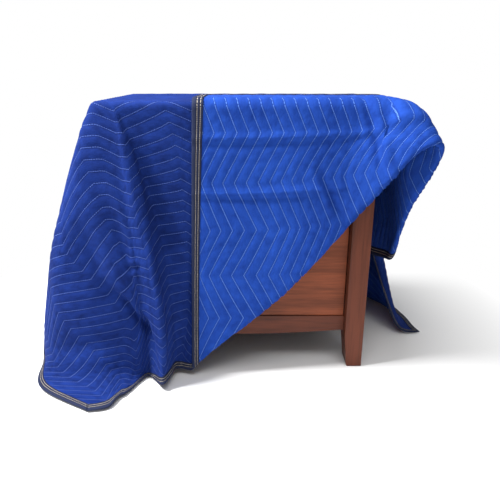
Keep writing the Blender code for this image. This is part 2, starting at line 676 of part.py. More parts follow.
def make_rail(name, low, high, material, lower_middle, along_x):
    """A bottom rail whose lower edge curves down to its middle."""
    steps = 12
    axis = 0 if along_x else 1
    points, faces = [], []
    for k in range(steps + 1):
        share = k / steps
        a = low[axis] + (high[axis] - low[axis]) * share
        bottom = low[2] - (low[2] - lower_middle) * math.sin(math.pi * share)
        for depth in (low[1 - axis], high[1 - axis]):
            for z in (bottom, high[2]):
                points.append((a, depth, z) if along_x else (depth, a, z))
    for k in range(steps):
        a = 4 * k
        ring = (a, a + 1, a + 3, a + 2)
        for j in range(4):
            b, c = ring[j], ring[(j + 1) % 4]
            faces.append((b, c, c + 4, b + 4))
    faces.append((0, 2, 3, 1))
    end = 4 * steps
    faces.append((end, end + 1, end + 3, end + 2))
    thing = make_object(name, points, faces, material)
    work = bmesh.new()
    work.from_mesh(thing.data)
    bmesh.ops.triangulate(work, faces=work.faces)
    bmesh.ops.recalc_face_normals(work, faces=work.faces)
    work.to_mesh(thing.data)
    work.free()
    return thing


def make_cabinet(wood, panel_wood):
    """The plain wooden cabinet that the blanket hangs from."""
    gap = PIECE_GAP
    under_board = TOP_HEIGHT - BOARD_THICK - gap
    make_block(
        "top_board", (BOARD_LEFT, BOARD_FRONT, TOP_HEIGHT - BOARD_THICK),
        (BOARD_RIGHT, BOARD_BACK, TOP_HEIGHT), wood, BOARD_ROUNDING, 3,
    )
    right, back = LEG_RIGHT - LEG_WIDTH, LEG_BACK - LEG_DEPTH
    make_leg("leg_front_left", LEG_LEFT, LEG_FRONT, wood)
    make_leg("leg_front_right", right, LEG_FRONT, wood)
    make_leg("leg_back_left", LEG_LEFT, back, wood)
    make_leg("leg_back_right", right, back, wood)
    inside_left, inside_right = LEG_LEFT + LEG_WIDTH + gap, right - gap
    inside_front, inside_back = LEG_FRONT + LEG_DEPTH + gap, back - gap
    near, far = LEG_FRONT + PANEL_RECESS, LEG_BACK - PANEL_RECESS
    west, east = LEG_LEFT + PANEL_RECESS, LEG_RIGHT - PANEL_RECESS
    panel_low = RAIL_TOP + gap
    panels = {
        "front_panel": (inside_left + 0.002, inside_right - 0.002, near + 0.004, near + 0.004 + PANEL_THICK),
        "back_panel": (inside_left, inside_right, far - PANEL_THICK, far),
        "left_panel": (west, west + PANEL_THICK, inside_front, inside_back),
        "right_panel": (east - PANEL_THICK, east, inside_front, inside_back),
    }
    for name, (x0, x1, y0, y1) in panels.items():
        make_block(name, (x0, y0, panel_low), (x1, y1, under_board), panel_wood)
    rails = {
        "front_rail": (inside_left, inside_right, near, near + RAIL_THICK),
        "back_rail": (inside_left, inside_right, far - RAIL_THICK, far),
        "left_rail": (west, west + RAIL_THICK, inside_front, inside_back),
        "right_rail": (east - RAIL_THICK, east, inside_front, inside_back),
    }
    for name, (x0, x1, y0, y1) in rails.items():
        along_x = name in ("front_rail", "back_rail")
        make_rail(name, (x0, y0, RAIL_SIDE_LOW), (x1, y1, RAIL_TOP), wood, RAIL_MIDDLE_LOW, along_x)


def centre_on_floor():
    """Puts the origin under the middle of the whole, on the floor."""
    bpy.context.view_layer.update()
    meshes = [thing.data for thing in bpy.data.objects if thing.type == "MESH"]
    points = np.array([vert.co[:] for mesh in meshes for vert in mesh.vertices])
    low, high = points.min(axis=0), points.max(axis=0)
    shift = Vector((-(low[0] + high[0]) / 2, -(low[1] + high[1]) / 2, 0))
    for mesh in meshes:
        for vert in mesh.vertices:
            vert.co += shift


def main():
    for thing in list(bpy.data.objects):
        bpy.data.objects.remove(thing)
    cloth = make_material("blue_quilt", (0.03, 0.07, 0.32), 0.9)
    tape = make_material("navy_tape", (0.03, 0.035, 0.07), 0.8)
    wood = make_material("brown_wood", (0.30, 0.11, 0.06), 0.45)
    panel_wood = make_material("brown_panel_wood", (0.35, 0.13, 0.07), 0.45)
    make_cabinet(wood, panel_wood)
    make_quilt(cloth)
    for name in HEMS:
        make_binding(name, tape)
    centre_on_floor()


main()
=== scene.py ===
"""A quilted moving blanket that hangs over a plain wooden cabinet, laid out as an add-on."""

import math

import bpy
import numpy as np
from bpy.props import FloatProperty, FloatVectorProperty, PointerProperty
from bpy.types import Operator, Panel, PropertyGroup
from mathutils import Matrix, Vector


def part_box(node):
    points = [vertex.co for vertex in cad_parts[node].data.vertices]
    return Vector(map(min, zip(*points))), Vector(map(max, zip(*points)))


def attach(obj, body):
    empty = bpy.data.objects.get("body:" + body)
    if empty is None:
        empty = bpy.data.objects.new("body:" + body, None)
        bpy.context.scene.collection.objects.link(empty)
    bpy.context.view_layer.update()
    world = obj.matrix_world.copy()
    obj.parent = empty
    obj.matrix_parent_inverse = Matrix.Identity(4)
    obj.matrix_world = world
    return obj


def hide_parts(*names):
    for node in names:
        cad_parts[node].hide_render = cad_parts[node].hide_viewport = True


bl_info = {
    "name": "Moving blanket over a cabinet",
    "version": (1, 0, 0),
    "blender": (4, 5, 0),
    "location": "3D View > Sidebar > Blanket",
    "description": "Makes the quilted faces, the hem tapes, the wood finishes and the stage",
    "category": "Object",
}

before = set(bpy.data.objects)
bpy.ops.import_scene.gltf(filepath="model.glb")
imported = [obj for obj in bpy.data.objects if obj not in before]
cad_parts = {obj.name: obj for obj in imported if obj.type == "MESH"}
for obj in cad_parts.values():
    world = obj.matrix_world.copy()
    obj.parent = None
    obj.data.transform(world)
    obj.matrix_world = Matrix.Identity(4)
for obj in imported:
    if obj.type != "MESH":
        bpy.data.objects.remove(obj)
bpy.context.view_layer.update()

# Blanket sizes in metres
BLANKET_WIDTH = 1.83
BLANKET_LENGTH = 2.03
CLOTH_THICK = 0.004
LAYER_STEP = 0.010
TAPE_WIDTH = 0.027

# How far the blanket hangs over the left and front edges, and where its front hem turns up
LEFT_HANG = 0.66
FRONT_HANG = 0.763
FOLD_START = 0.904
# How far the cloth left of the folded corner slants to the right, over which distance from the
# fold this sets in, how its share changes along the width, and its power of the share fallen
SLANT = 0.040
SLANT_ONSET = 0.20
SLANT_BY_WIDTH = ((0.72, 0), (0.80, 1), (0.95, 1), (1.30, 0))
SLANT_POWER = 0.8
# How far the fold is drawn up at places along it: distance along the width, and the pull;
# the half width of that pull across the fold, over which length it sets in, and its share
# to the left and up
FOLD_PULL = (
    (0.00, 0.000), (0.15, 0.002), (0.25, 0.006), (0.35, 0.018), (0.45, 0.032),
    (0.55, 0.040), (0.65, 0.040), (0.80, 0.030),
)
PULL_WIDTH = 0.24
PULL_START, PULL_ONSET = 0.01, 0.18
PULL_SHARE = 0.7
# How much longer the right side is drawn than it is, and where that sets in and ends:
# a place in the flat cloth and the length over which it changes
RIGHT_SLACK = 0.070
SLACK_IN_WIDTH = (1.36, 0.47)
SLACK_IN_LENGTH = (0.60, 0.30)
SLACK_END = (1.35, 0.35)

# Cabinet sizes in metres
TOP_HEIGHT = 0.76
BOARD_LEFT, BOARD_RIGHT = -0.391, 0.355
BOARD_FRONT, BOARD_BACK = -0.012, 0.450
PIECE_GAP = 0.0003

# The cloth lies flat on the board inside this outline, a margin in from the board's edges
CORE_MARGIN = 0.006
CORE_LEFT, CORE_RIGHT = BOARD_LEFT + CORE_MARGIN, BOARD_RIGHT - CORE_MARGIN
CORE_FRONT, CORE_BACK = BOARD_FRONT + CORE_MARGIN, BOARD_BACK - CORE_MARGIN
CLOTH_ON_TOP = TOP_HEIGHT + PIECE_GAP + CLOTH_THICK / 2
CLOTH_ON_FLOOR = 0.0022
# Steps in which a hanging line is measured, how far past the floor's height it may fall, and
# the step to each side by which the cloth's direction is found
FALL_STEPS = 25
FALL_LIMIT = 1.02
LOOK_STEP = 0.002
# Limits for rounding: in places along a line, in two rows that meet, in the length of a
# direction, and in a turn's cosine
ROUNDING = 1e-9
SAME_ROW = 1e-7
SHORTEST = 1e-12
COSINE_LIMIT = 0.999

# One row for each thread line that hangs from the outline, going round it.
# base: where it leaves the board; angle: its direction in the flat cloth, in degrees;
# bend: radius over the edge; soft: length in which it turns onto the floor;
# mid and foot: where it is at half height and at the floor; run: its way along the floor.
COLUMNS = (
    "base_x", "base_y", "angle", "bend", "soft",
    "mid_x", "mid_y", "foot_x", "foot_y", "run_x", "run_y",
)
STATIONS = (
    # left side, from the back to the front
    (CORE_LEFT, CORE_BACK, 180, 0.010, 0.03, -0.455, 0.470, -0.510, 0.490, -1.0, 0.0),
    (CORE_LEFT, 0.250, 180, 0.010, 0.03, -0.465, 0.290, -0.530, 0.325, -1.0, 0.0),
    (CORE_LEFT, 0.120, 180, 0.010, 0.03, -0.482, 0.180, -0.555, 0.250, -1.0, 0.0),
    (CORE_LEFT, CORE_FRONT, 180, 0.010, 0.03, -0.515, 0.100, -0.592, 0.185, -1.0, 0.0),
    # front left corner, round to the front
    (CORE_LEFT, CORE_FRONT, 198, 0.012, 0.03, -0.532, 0.042, -0.618, 0.100, -0.9, 0.0),
    (CORE_LEFT, CORE_FRONT, 214, 0.012, 0.04, -0.518, -0.025, -0.598, 0.010, -0.5, -0.5),
    (CORE_LEFT, CORE_FRONT, 223, 0.012, 0.07, -0.480, -0.055, -0.545, -0.040, -0.25, -0.55),
    (CORE_LEFT, CORE_FRONT, 231, 0.012, 0.09, -0.420, -0.065, -0.438, -0.062, 0.28, -0.65),
    (CORE_LEFT, CORE_FRONT, 239, 0.012, 0.07, -0.350, -0.062, -0.352, -0.045, 0.05, -0.80),
    # along the front edge to the start of the tube fold
    (-0.335, CORE_FRONT, 239, 0.010, 0.06, -0.310, -0.062, -0.326, -0.044, 0.0, -0.6),
    (-0.335, CORE_FRONT, 250, 0.010, 0.03, -0.287, -0.068, -0.291, -0.034, 0.1, -0.4),
    (-0.335, CORE_FRONT, 256, 0.010, 0.03, -0.270, -0.075, -0.267, -0.070, 0.1, -0.6),
    (-0.335, CORE_FRONT, 261, 0.010, 0.03, -0.257, -0.070, -0.242, -0.108, 0.1, -0.8),
    (-0.335, CORE_FRONT, 266, 0.010, 0.03, -0.247, -0.050, -0.227, -0.076, 0.1, -0.6),
    (-0.335, CORE_FRONT, 270, 0.010, 0.03, -0.240, -0.032, -0.223, -0.050, 0.0, -0.8),
    # front
    (-0.245, CORE_FRONT, 270, 0.010, 0.03, -0.208, -0.019, -0.204, -0.018, 0.0, -1.0),
    (-0.145, CORE_FRONT, 270, 0.010, 0.03, -0.157, -0.018, -0.168, -0.026, 0.0, -1.0),
    (0.100, CORE_FRONT, 270, 0.010, 0.03, 0.100, -0.017, 0.100, -0.018, 0.0, -1.0),
    (0.280, CORE_FRONT, 270, 0.012, 0.03, 0.282, -0.017, 0.282, -0.018, 0.0, -1.0),
    (CORE_RIGHT, CORE_FRONT, 270, 0.030, 0.03, 0.352, -0.017, 0.355, -0.018, 0.0, -1.0),
    # front right corner, where the doubled cloth stands off as a peak
    (CORE_RIGHT, CORE_FRONT, 300, 0.080, 0.03, 0.480, -0.080, 0.610, -0.150, 0.0, -1.0),
    (CORE_RIGHT, CORE_FRONT, 328, 0.120, 0.03, 0.565, -0.160, 0.800, -0.300, 1.0, 0.0),
    (CORE_RIGHT, CORE_FRONT, 345, 0.085, 0.03, 0.458, -0.060, 0.570, -0.120, 1.0, 0.0),
    (CORE_RIGHT, CORE_FRONT, 360, 0.050, 0.03, 0.405, 0.010, 0.450, 0.010, 1.0, 0.0),
    # right side
    (CORE_RIGHT, 0.180, 360, 0.030, 0.03, 0.392, 0.185, 0.425, 0.180, 1.0, 0.0),
    (CORE_RIGHT, 0.300, 360, 0.015, 0.03, 0.368, 0.272, 0.380, 0.235, 1.0, 0.0),
    (CORE_RIGHT, CORE_BACK, 360, 0.010, 0.03, 0.366, 0.346, 0.372, 0.250, 1.0, 0.0),
    # back right corner, swung forward along the side
    (CORE_RIGHT, CORE_BACK, 380, 0.010, 0.03, 0.380, 0.356, 0.392, 0.240, 0.8, -0.3),
    (CORE_RIGHT, CORE_BACK, 402, 0.012, 0.03, 0.398, 0.348, 0.436, 0.186, 0.8, -0.4),
    (CORE_RIGHT, CORE_BACK, 414, 0.012, 0.04, 0.410, 0.346, 0.468, 0.172, 0.7, -0.2),
    (CORE_RIGHT, CORE_BACK, 423, 0.012, 0.05, 0.420, 0.356, 0.492, 0.198, 0.7, 0.0),
    (CORE_RIGHT, CORE_BACK, 433, 0.012, 0.04, 0.424, 0.395, 0.494, 0.295, 0.8, 0.2),
    (CORE_RIGHT, CORE_BACK, 442, 0.010, 0.03, 0.408, 0.440, 0.468, 0.405, 0.8, 0.4),
    (CORE_RIGHT, CORE_BACK, 450, 0.010, 0.03, 0.362, 0.485, 0.380, 0.530, 0.1, 1.0),
    # back
    (0.150, CORE_BACK, 450, 0.010, 0.03, 0.160, 0.490, 0.160, 0.520, 0.0, 1.0),
    (-0.120, CORE_BACK, 450, 0.010, 0.03, -0.120, 0.480, -0.120, 0.500, 0.0, 1.0),
    (CORE_LEFT, CORE_BACK, 450, 0.010, 0.03, -0.375, 0.495, -0.360, 0.540, 0.0, 1.0),
    # back left corner
    (CORE_LEFT, CORE_BACK, 472, 0.012, 0.04, -0.430, 0.552, -0.450, 0.630, 0.0, 1.0),
    (CORE_LEFT, CORE_BACK, 495, 0.014, 0.06, -0.555, 0.600, -0.650, 0.700, -0.7, 0.7),
    (CORE_LEFT, CORE_BACK, 518, 0.012, 0.04, -0.530, 0.508, -0.605, 0.560, -1.0, 0.0),
    (CORE_LEFT, CORE_BACK, 540, 0.010, 0.03, -0.455, 0.470, -0.510, 0.490, -1.0, 0.0),
)
# Running length that a degree of turn counts for
KEY_FOR_DEGREE = 0.006


def column(name):
    """One column of the table as an array."""
    place = COLUMNS.index(name)
    return np.array([row[place] for row in STATIONS], float)


def station_keys():
    """Running length of the rows round the outline, with a turn counted by its degrees."""
    along = np.hypot(np.diff(column("base_x")), np.diff(column("base_y")))
    steps = along + KEY_FOR_DEGREE * np.abs(np.diff(column("angle")))
    return np.concatenate([[0.0], np.cumsum(steps)])


def smooth_between(keys, values, at):
    """Smooth curve through the rows' values, closed round the outline."""
    gap = np.diff(keys)
    rise = np.diff(values) / gap
    gap_before = np.concatenate([[gap[-1]], gap])
    gap_after = np.concatenate([gap, [gap[0]]])
    rise_before = np.concatenate([[rise[-1]], rise])
    rise_after = np.concatenate([rise, [rise[0]]])
    slope = (rise_before * gap_after + rise_after * gap_before) / (gap_before + gap_after)
    i = np.clip(np.searchsorted(keys, at, side="right") - 1, 0, len(gap) - 1)
    t = (at - keys[i]) / gap[i]
    start = values[i] * (2 * t**3 - 3 * t**2 + 1) + gap[i] * slope[i] * (t**3 - 2 * t**2 + t)
    end = values[i + 1] * (3 * t**2 - 2 * t**3) + gap[i] * slope[i + 1] * (t**3 - t**2)
    return start + end


def find_thread(x, y):
    """Which hanging line passes each flat place off the board, and how far out along it."""
    keys = station_keys()
    base_x, base_y = column("base_x"), column("base_y")
    angle = np.radians(column("angle"))
    key = np.full(x.shape, np.nan)
    reach = np.zeros(x.shape)
    for i in range(len(keys) - 1):
        dx, dy = x - base_x[i], y - base_y[i]
        if angle[i] != angle[i + 1]:
            turn = np.arctan2(dy, dx) - angle[i]
            turn = np.mod(turn + ROUNDING, 2 * math.pi) - ROUNDING
            t = turn / (angle[i + 1] - angle[i])
            r = np.hypot(dx, dy)
        else:
            c, s = math.cos(angle[i]), math.sin(angle[i])
            edge_x, edge_y = base_x[i + 1] - base_x[i], base_y[i + 1] - base_y[i]
            across = edge_x * s - edge_y * c
            t = (dx * s - dy * c) / across
            r = (edge_x * dy - edge_y * dx) / across
        take = (t >= -ROUNDING) & (t <= 1 + ROUNDING) & (r >= -ROUNDING) & np.isnan(key)
        key = np.where(take, keys[i] + np.clip(t, 0, 1) * (keys[i + 1] - keys[i]), key)
        reach = np.where(take, np.maximum(r, 0), reach)
    return np.where(np.isnan(key), 0, key), reach


def over_edge(radius, out, first, reach):
    """The arc over the board's edge: its places, and the height and the cloth left below it."""
    drop = CLOTH_ON_TOP - CLOTH_ON_FLOOR
    start = np.concatenate([first, np.full(reach.shape + (1,), -drop)], -1)
    start /= np.linalg.norm(start, axis=-1, keepdims=True)
    cosine = np.clip((out * start).sum(-1), -COSINE_LIMIT, COSINE_LIMIT)
    bend = np.arccos(cosine)
    down = start - cosine[..., None] * out
    down /= np.linalg.norm(down, axis=-1, keepdims=True)
    turned = np.clip(reach / radius, 0, bend)
    ahead = radius * np.sin(turned)
    below = radius * (1 - np.cos(turned))
    place = ahead[..., None] * out + below[..., None] * down
    fall = drop + radius * (1 - np.cos(bend)) * down[..., 2]
    return place, fall, reach - radius * bend


def down_to_floor(first, second, fall, left, soft):
    """The hanging parabola: share of the height fallen, and the cloth that lies on the floor."""
    share = np.linspace(0, 1, FALL_STEPS)
    slope = first[..., None, :] + 2 * second[..., None, :] * share[:, None]
    speed = np.sqrt((slope**2).sum(-1) + fall[..., None] ** 2)
    steps = (speed[..., 1:] + speed[..., :-1]) / 2 * share[1]
    length = np.concatenate([np.zeros(left.shape + (1,)), np.cumsum(steps, -1)], -1)
    whole = length[..., -1]
    over = 0.5 * ((left - whole) + np.sqrt((left - whole) ** 2 + soft**2))
    over -= 0.5 * (np.sqrt(whole**2 + soft**2) - whole)
    over = np.where(left > 0, np.clip(over, 0, None), 0)
    hang = np.clip(left - over, 0, None)
    i = np.clip((length < hang[..., None]).sum(-1) - 1, 0, len(share) - 2)
    low = np.take_along_axis(length, i[..., None], -1)[..., 0]
    high = np.take_along_axis(length, i[..., None] + 1, -1)[..., 0]
    fallen = np.clip(share[i] + (hang - low) / (high - low) * share[1], 0, FALL_LIMIT)
    return fallen, over


def hanging(key, reach):
    """Places on the hanging lines: over the edge, down to the floor, and along it."""
    keys = station_keys()
    row = {name: smooth_between(keys, column(name), key) for name in COLUMNS[3:]}
    row["bend"] = np.maximum(row["bend"], column("bend").min())
    base = np.stack([np.interp(key, keys, column(name)) for name in ("base_x", "base_y")], -1)
    way = np.radians(np.interp(key, keys, column("angle")))
    out = np.stack([np.cos(way), np.sin(way), 0 * way], -1)
    mid, foot, run = (
        np.stack([row[f"{point}_x"], row[f"{point}_y"]], -1) for point in ("mid", "foot", "run")
    )
    mid, foot = mid - base, foot - base
    first, second = 4 * mid - foot, 2 * foot - 4 * mid
    place, fall, left = over_edge(row["bend"], out, first, reach)
    fallen, over = down_to_floor(first, second, fall, left, row["soft"])
    place[..., 2] -= fall * fallen
    fallen = fallen[..., None]
    place[..., :2] += first * fallen + second * fallen**2 + run * over[..., None]
    place[..., :2] += base
    place[..., 2] += CLOTH_ON_TOP
    return place


def eased(share):
    """0 to 1, level at both ends."""
    share = np.clip(share, 0, 1)
    return share * share * (3 - 2 * share)


# Folds of the hanging front beside the tube: places in the flat cloth from the top down,
# how far each stands out from the plain drape, and its half width on its left and right side;
# and the way in which they stand out
FOLD_COLUMNS = ("p", "q", "lift", "left", "right")
FOLD_WAY = (-0.25, -0.97, 0.0)
FOLDS = {
    "valley": (
        (0.470, 0.600, 0.000, 0.030, 0.060),
        (0.450, 0.535, -0.008, 0.030, 0.065),
        (0.415, 0.460, -0.016, 0.030, 0.070),
        (0.375, 0.395, -0.022, 0.028, 0.075),
        (0.370, 0.330, -0.026, 0.026, 0.075),
        (0.400, 0.265, -0.028, 0.026, 0.075),
        (0.500, 0.185, -0.026, 0.026, 0.070),
        (0.525, 0.120, -0.016, 0.026, 0.060),
        (0.545, 0.040, 0.000, 0.026, 0.050),
    ),
    "beside the ridge": (
        (0.715, 0.660, 0.000, 0.060, 0.022),
        (0.700, 0.570, -0.010, 0.060, 0.022),
        (0.684, 0.425, -0.016, 0.060, 0.022),
        (0.664, 0.315, -0.016, 0.055, 0.022),
        (0.650, 0.205, -0.012, 0.050, 0.020),
        (0.640, 0.050, 0.000, 0.050, 0.020),
    ),
    "beside the cone": (
        (0.600, 0.680, 0.000, 0.040, 0.030),
        (0.560, 0.600, -0.008, 0.040, 0.030),
        (0.525, 0.500, -0.008, 0.040, 0.030),
        (0.490, 0.400, 0.000, 0.040, 0.030),
    ),
}


def beside_line(p, q, start, end):
    """Beside which share of a line each flat place lies, how far off, and on its left or not."""
    way_p, way_q = end[0] - start[0], end[1] - start[1]
    length = math.hypot(way_p, way_q)
    share = ((p - start[0]) * way_p + (q - start[1]) * way_q) / length**2
    share = np.clip(share, 0, 1)
    off = np.hypot(p - start[0] - share * way_p, q - start[1] - share * way_q)
    left = way_p * (q - start[1]) - way_q * (p - start[0]) > 0
    return share, off, left


def fold_lift(p, q):
    """How far the listed folds stand out from the plain drape."""
    total = np.zeros(np.shape(p))
    for rows in FOLDS.values():
        nearest = np.full(np.shape(p), np.inf)
        lift = np.zeros(np.shape(p))
        for low, high in zip(rows[:-1], rows[1:]):
            share, off, left = beside_line(p, q, low, high)
            here = {name: a + share * (b - a) for name, a, b in zip(FOLD_COLUMNS, low, high)}
            width = np.where(left, here["left"], here["right"])
            take = off < nearest
            lift = np.where(take, here["lift"] * np.exp(-((off / width) ** 2)), lift)
            nearest = np.where(take, off, nearest)
        total = total + lift
    return total


def slack_share(p, q):
    """Share of the right side's slack at places of the flat cloth."""
    in_width = eased((p - SLACK_IN_WIDTH[0]) / SLACK_IN_WIDTH[1])
    in_length = eased((q - SLACK_IN_LENGTH[0]) / SLACK_IN_LENGTH[1])
    return in_width * in_length * eased((SLACK_END[0] - q) / SLACK_END[1])


def draped(p, q):
    """Where the blanket's flat places lie before its corner is folded back."""
    x = CORE_LEFT + p - LEFT_HANG + RIGHT_SLACK * slack_share(p, q)
    y = CORE_FRONT + q - FRONT_HANG
    on_board = (x >= CORE_LEFT) & (x <= CORE_RIGHT) & (y >= CORE_FRONT) & (y <= CORE_BACK)
    key, reach = find_thread(np.where(on_board, CORE_LEFT, x), np.where(on_board, CORE_FRONT, y))
    top = np.stack([x, y, np.full(x.shape, CLOTH_ON_TOP)], -1)
    place = np.where(on_board[..., None], top, hanging(key, reach))
    # the diagonal fold is drawn up and to the left where it nears the peak
    along = (p - FOLD_START + q) / 2
    across = (p - FOLD_START - q) / math.sqrt(2)
    pull = np.interp(along, *zip(*FOLD_PULL))
    pull *= eased((FRONT_HANG - q - PULL_START) / PULL_ONSET)
    pull *= np.exp(-((across / PULL_WIDTH) ** 2))
    place[..., 0] -= PULL_SHARE * pull
    place[..., 2] += PULL_SHARE * pull
    return place


def outward(p, q):
    """Direction that the outer face of the draped cloth looks in."""
    along_width = draped(p + LOOK_STEP, q) - draped(p - LOOK_STEP, q)
    along_length = draped(p, q + LOOK_STEP) - draped(p, q - LOOK_STEP)
    way = np.cross(along_width, along_length)
    return way / np.maximum(np.linalg.norm(way, axis=-1, keepdims=True), SHORTEST)


# The turn of the folded corner: its radius, and half the cloth's length in it
TURN_RADIUS = LAYER_STEP / 2
TURN_HALF = math.pi * TURN_RADIUS / 2


def folded(p, q, rise):
    """Places of the finished cloth, rise above its middle on the outer face's side."""
    u = (p - q - FOLD_START) / math.sqrt(2)
    turned = np.clip((u + TURN_HALF) / TURN_RADIUS, 0, math.pi)
    in_turn = -TURN_HALF + (TURN_RADIUS - rise) * np.sin(turned)
    across = np.where(u < -TURN_HALF, u, np.where(u > TURN_HALF, -u, in_turn))
    height = TURN_RADIUS - (TURN_RADIUS - rise) * np.cos(turned)
    shift = (across - u) / math.sqrt(2)
    place = draped(p + shift, q - shift) + outward(p + shift, q - shift) * height[..., None]
    place += fold_lift(p, q)[..., None] * np.array(FOLD_WAY)
    # left of the flap the hanging cloth slants to the right, most at half height
    clear = eased(-u / SLANT_ONSET)
    across_front = np.interp(p, *zip(*SLANT_BY_WIDTH))
    fallen = np.clip(1 - q / FRONT_HANG, 0, 1)
    place[..., 0] += SLANT * clear * across_front * np.sin(math.pi * fallen**SLANT_POWER)
    return place


# Quilting: seams that zigzag across the width, one every 28 mm of the length. The zigzag's
# half period, its height from low to high point, and the place of one high point
SEAM_GAP = 0.0284
HALF_PERIOD = 0.127
ZIGZAG_HEIGHT = 0.057
ZIGZAG_PEAK = 0.826
# Rows of points in a channel, columns in half a period, where they end beside the hem, and how
# far the last column stays off those that follow the zigzag
ROWS_IN_CHANNEL = 5
COLUMNS_IN_HALF = 16
UNDER_TAPE = 0.004
COLUMN_MARGIN = 0.002
# Height of a seam above the cloth's middle, and the underside's puff where it lies on the board
SEAM_RISE = 0.0012
PUFF_ON_BOARD = 0.0010

# How far the seams are drawn over on the hanging front, by the length and by the width, and
# how often a row's place is worked out anew with that
DRAWN_BY_LENGTH = (
    (0.00, 0.095), (0.32, 0.085), (0.50, 0.080), (0.57, 0.045), (0.68, 0.005), (0.73, 0.0),
)
DRAWN_BY_WIDTH = ((0.00, 1.0), (0.66, 1.0), (0.72, 0.7), (0.80, 0.3), (0.90, 0.0))
SEAM_ROUNDS = 8

# Smooth unevenness: number of waves, how much longer than a bump each is, and their scale
WAVES = 9
WAVE_STRETCH = (1.4, 3.2)
WAVE_SCALE = 3.2
# Unevenness of the whole cloth: height, size of its bumps, seed, and less of it on the flap
LOOSE_HEIGHT, LOOSE_SIZE, LOOSE_SEED = 0.0012, 0.09, 7
LESS_ON_FLAP = 0.4
# Fullness of a channel: its mean, and its unevenness as share, size of the bumps and seed
FULLNESS = 0.86
FULLNESS_UNEVEN = ((0.16, 0.035, 3), (0.10, 0.11, 4))
ROUNDNESS = 0.75
# A channel swells from this distance from the hem, over this length
PUFF_FROM_HEM, PUFF_ONSET = 0.024, 0.016
# The cloth hangs free from this distance past the board's edge, over this length
FREE_FROM_EDGE, FREE_ONSET = 0.015, 0.05
# The folded corner's own creases start this far from the fold, over this length
FLAP_START, FLAP_ONSET = 0.01, 0.02
# A crease starts and ends at this share of half a wave, which spans the rest
CREASE_START, CREASE_SPAN = 0.12, 0.76

# Soft creases in the flat cloth: start, end, half width and height, outward from the board
CREASES = (
    # across the folded corner, which shows its underside
    (1.574, 0.00, 1.580, 0.47, 0.008, -0.0060),
    (1.556, 0.00, 1.562, 0.44, 0.008, 0.0040),
    (1.434, 0.00, 1.430, 0.40, 0.008, -0.0065),
    (1.416, 0.02, 1.412, 0.34, 0.008, 0.0045),
    (1.690, 0.412, 1.440, 0.512, 0.008, 0.0075),
    (1.690, 0.434, 1.440, 0.534, 0.009, -0.0075),
    (1.600, 0.498, 1.592, 0.575, 0.009, -0.0065),
    (1.574, 0.516, 1.528, 0.556, 0.012, 0.0075),
    (1.548, 0.498, 1.476, 0.516, 0.009, -0.0055),
    (1.488, 0.324, 1.374, 0.388, 0.008, 0.0060),
    (1.484, 0.306, 1.374, 0.368, 0.008, -0.0060),
    (1.440, 0.362, 1.336, 0.412, 0.008, 0.0045),
    # a few crumples across the tube
    (0.465, 0.422, 0.560, 0.380, 0.008, 0.0040),
    (0.462, 0.404, 0.560, 0.362, 0.008, -0.0040),
    (0.470, 0.386, 0.540, 0.352, 0.008, 0.0035),
    # along the tube and beside it
    (0.618, 0.06, 0.640, 0.40, 0.013, 0.0100),
    (0.640, 0.36, 0.705, 0.68, 0.013, 0.0080),
    (0.520, 0.13, 0.392, 0.27, 0.014, -0.0100),
    (0.400, 0.26, 0.372, 0.36, 0.016, -0.0090),
    (0.372, 0.34, 0.440, 0.52, 0.018, -0.0070),
    (0.470, 0.36, 0.570, 0.70, 0.014, -0.0060),
    (0.500, 0.36, 0.600, 0.72, 0.016, 0.0050),
    (0.330, 0.20, 0.100, 0.30, 0.035, -0.0070),
)


def zigzag(p):
    """How far the seams run above or below their middle line at a place along the width."""
    turn = (p - ZIGZAG_PEAK) / (2 * HALF_PERIOD)
    return ZIGZAG_HEIGHT / 2 * (1 - 4 * np.abs(turn - np.floor(turn + 0.5)))


def seam_place(p, q):
    """Place along the width that the seams' zigzag goes by."""
    by_length = np.interp(q, *zip(*DRAWN_BY_LENGTH))
    by_width = np.interp(p, *zip(*DRAWN_BY_WIDTH))
    return p + by_length * by_width


def uneven(p, q, size, seed):
    """Smooth unevenness between about -1 and 1, with bumps of about the given size."""
    chance = np.random.default_rng(seed)
    total = np.zeros(np.shape(p))
    for _ in range(WAVES):
        way = chance.uniform(0, 2 * math.pi)
        wave = 2 * math.pi / (size * chance.uniform(*WAVE_STRETCH))
        shift = chance.uniform(0, 2 * math.pi)
        total = total + np.sin(wave * (p * math.cos(way) + q * math.sin(way)) + shift)
    return total / WAVE_SCALE


def crease_rise(p, q):
    """Height of the creases above the plain drape."""
    total = np.zeros(np.shape(p))
    for p0, q0, p1, q1, width, height in CREASES:
        share, off, _ = beside_line(p, q, (p0, q0), (p1, q1))
        fade = np.sin(math.pi * np.clip(CREASE_START + CREASE_SPAN * share, 0, 1))
        total = total + height * fade * np.exp(-((off / width) ** 2))
    return total


def freedom(p, q):
    """0 where the cloth lies on the board or turns over its edge, 1 where it hangs free."""
    mirrored = p - q > FOLD_START
    a = np.where(mirrored, q + FOLD_START, p)
    b = np.where(mirrored, p - FOLD_START, q)
    out_x = np.maximum(LEFT_HANG - a, a - LEFT_HANG - (CORE_RIGHT - CORE_LEFT))
    out_y = np.maximum(FRONT_HANG - b, b - FRONT_HANG - (CORE_BACK - CORE_FRONT))
    return eased((np.maximum(out_x, out_y) - FREE_FROM_EDGE) / FREE_ONSET)


def hem_distance(p, q):
    """Distance in the flat cloth from the nearest hem."""
    return np.minimum(np.minimum(p, BLANKET_WIDTH - p), np.minimum(q, BLANKET_LENGTH - q))


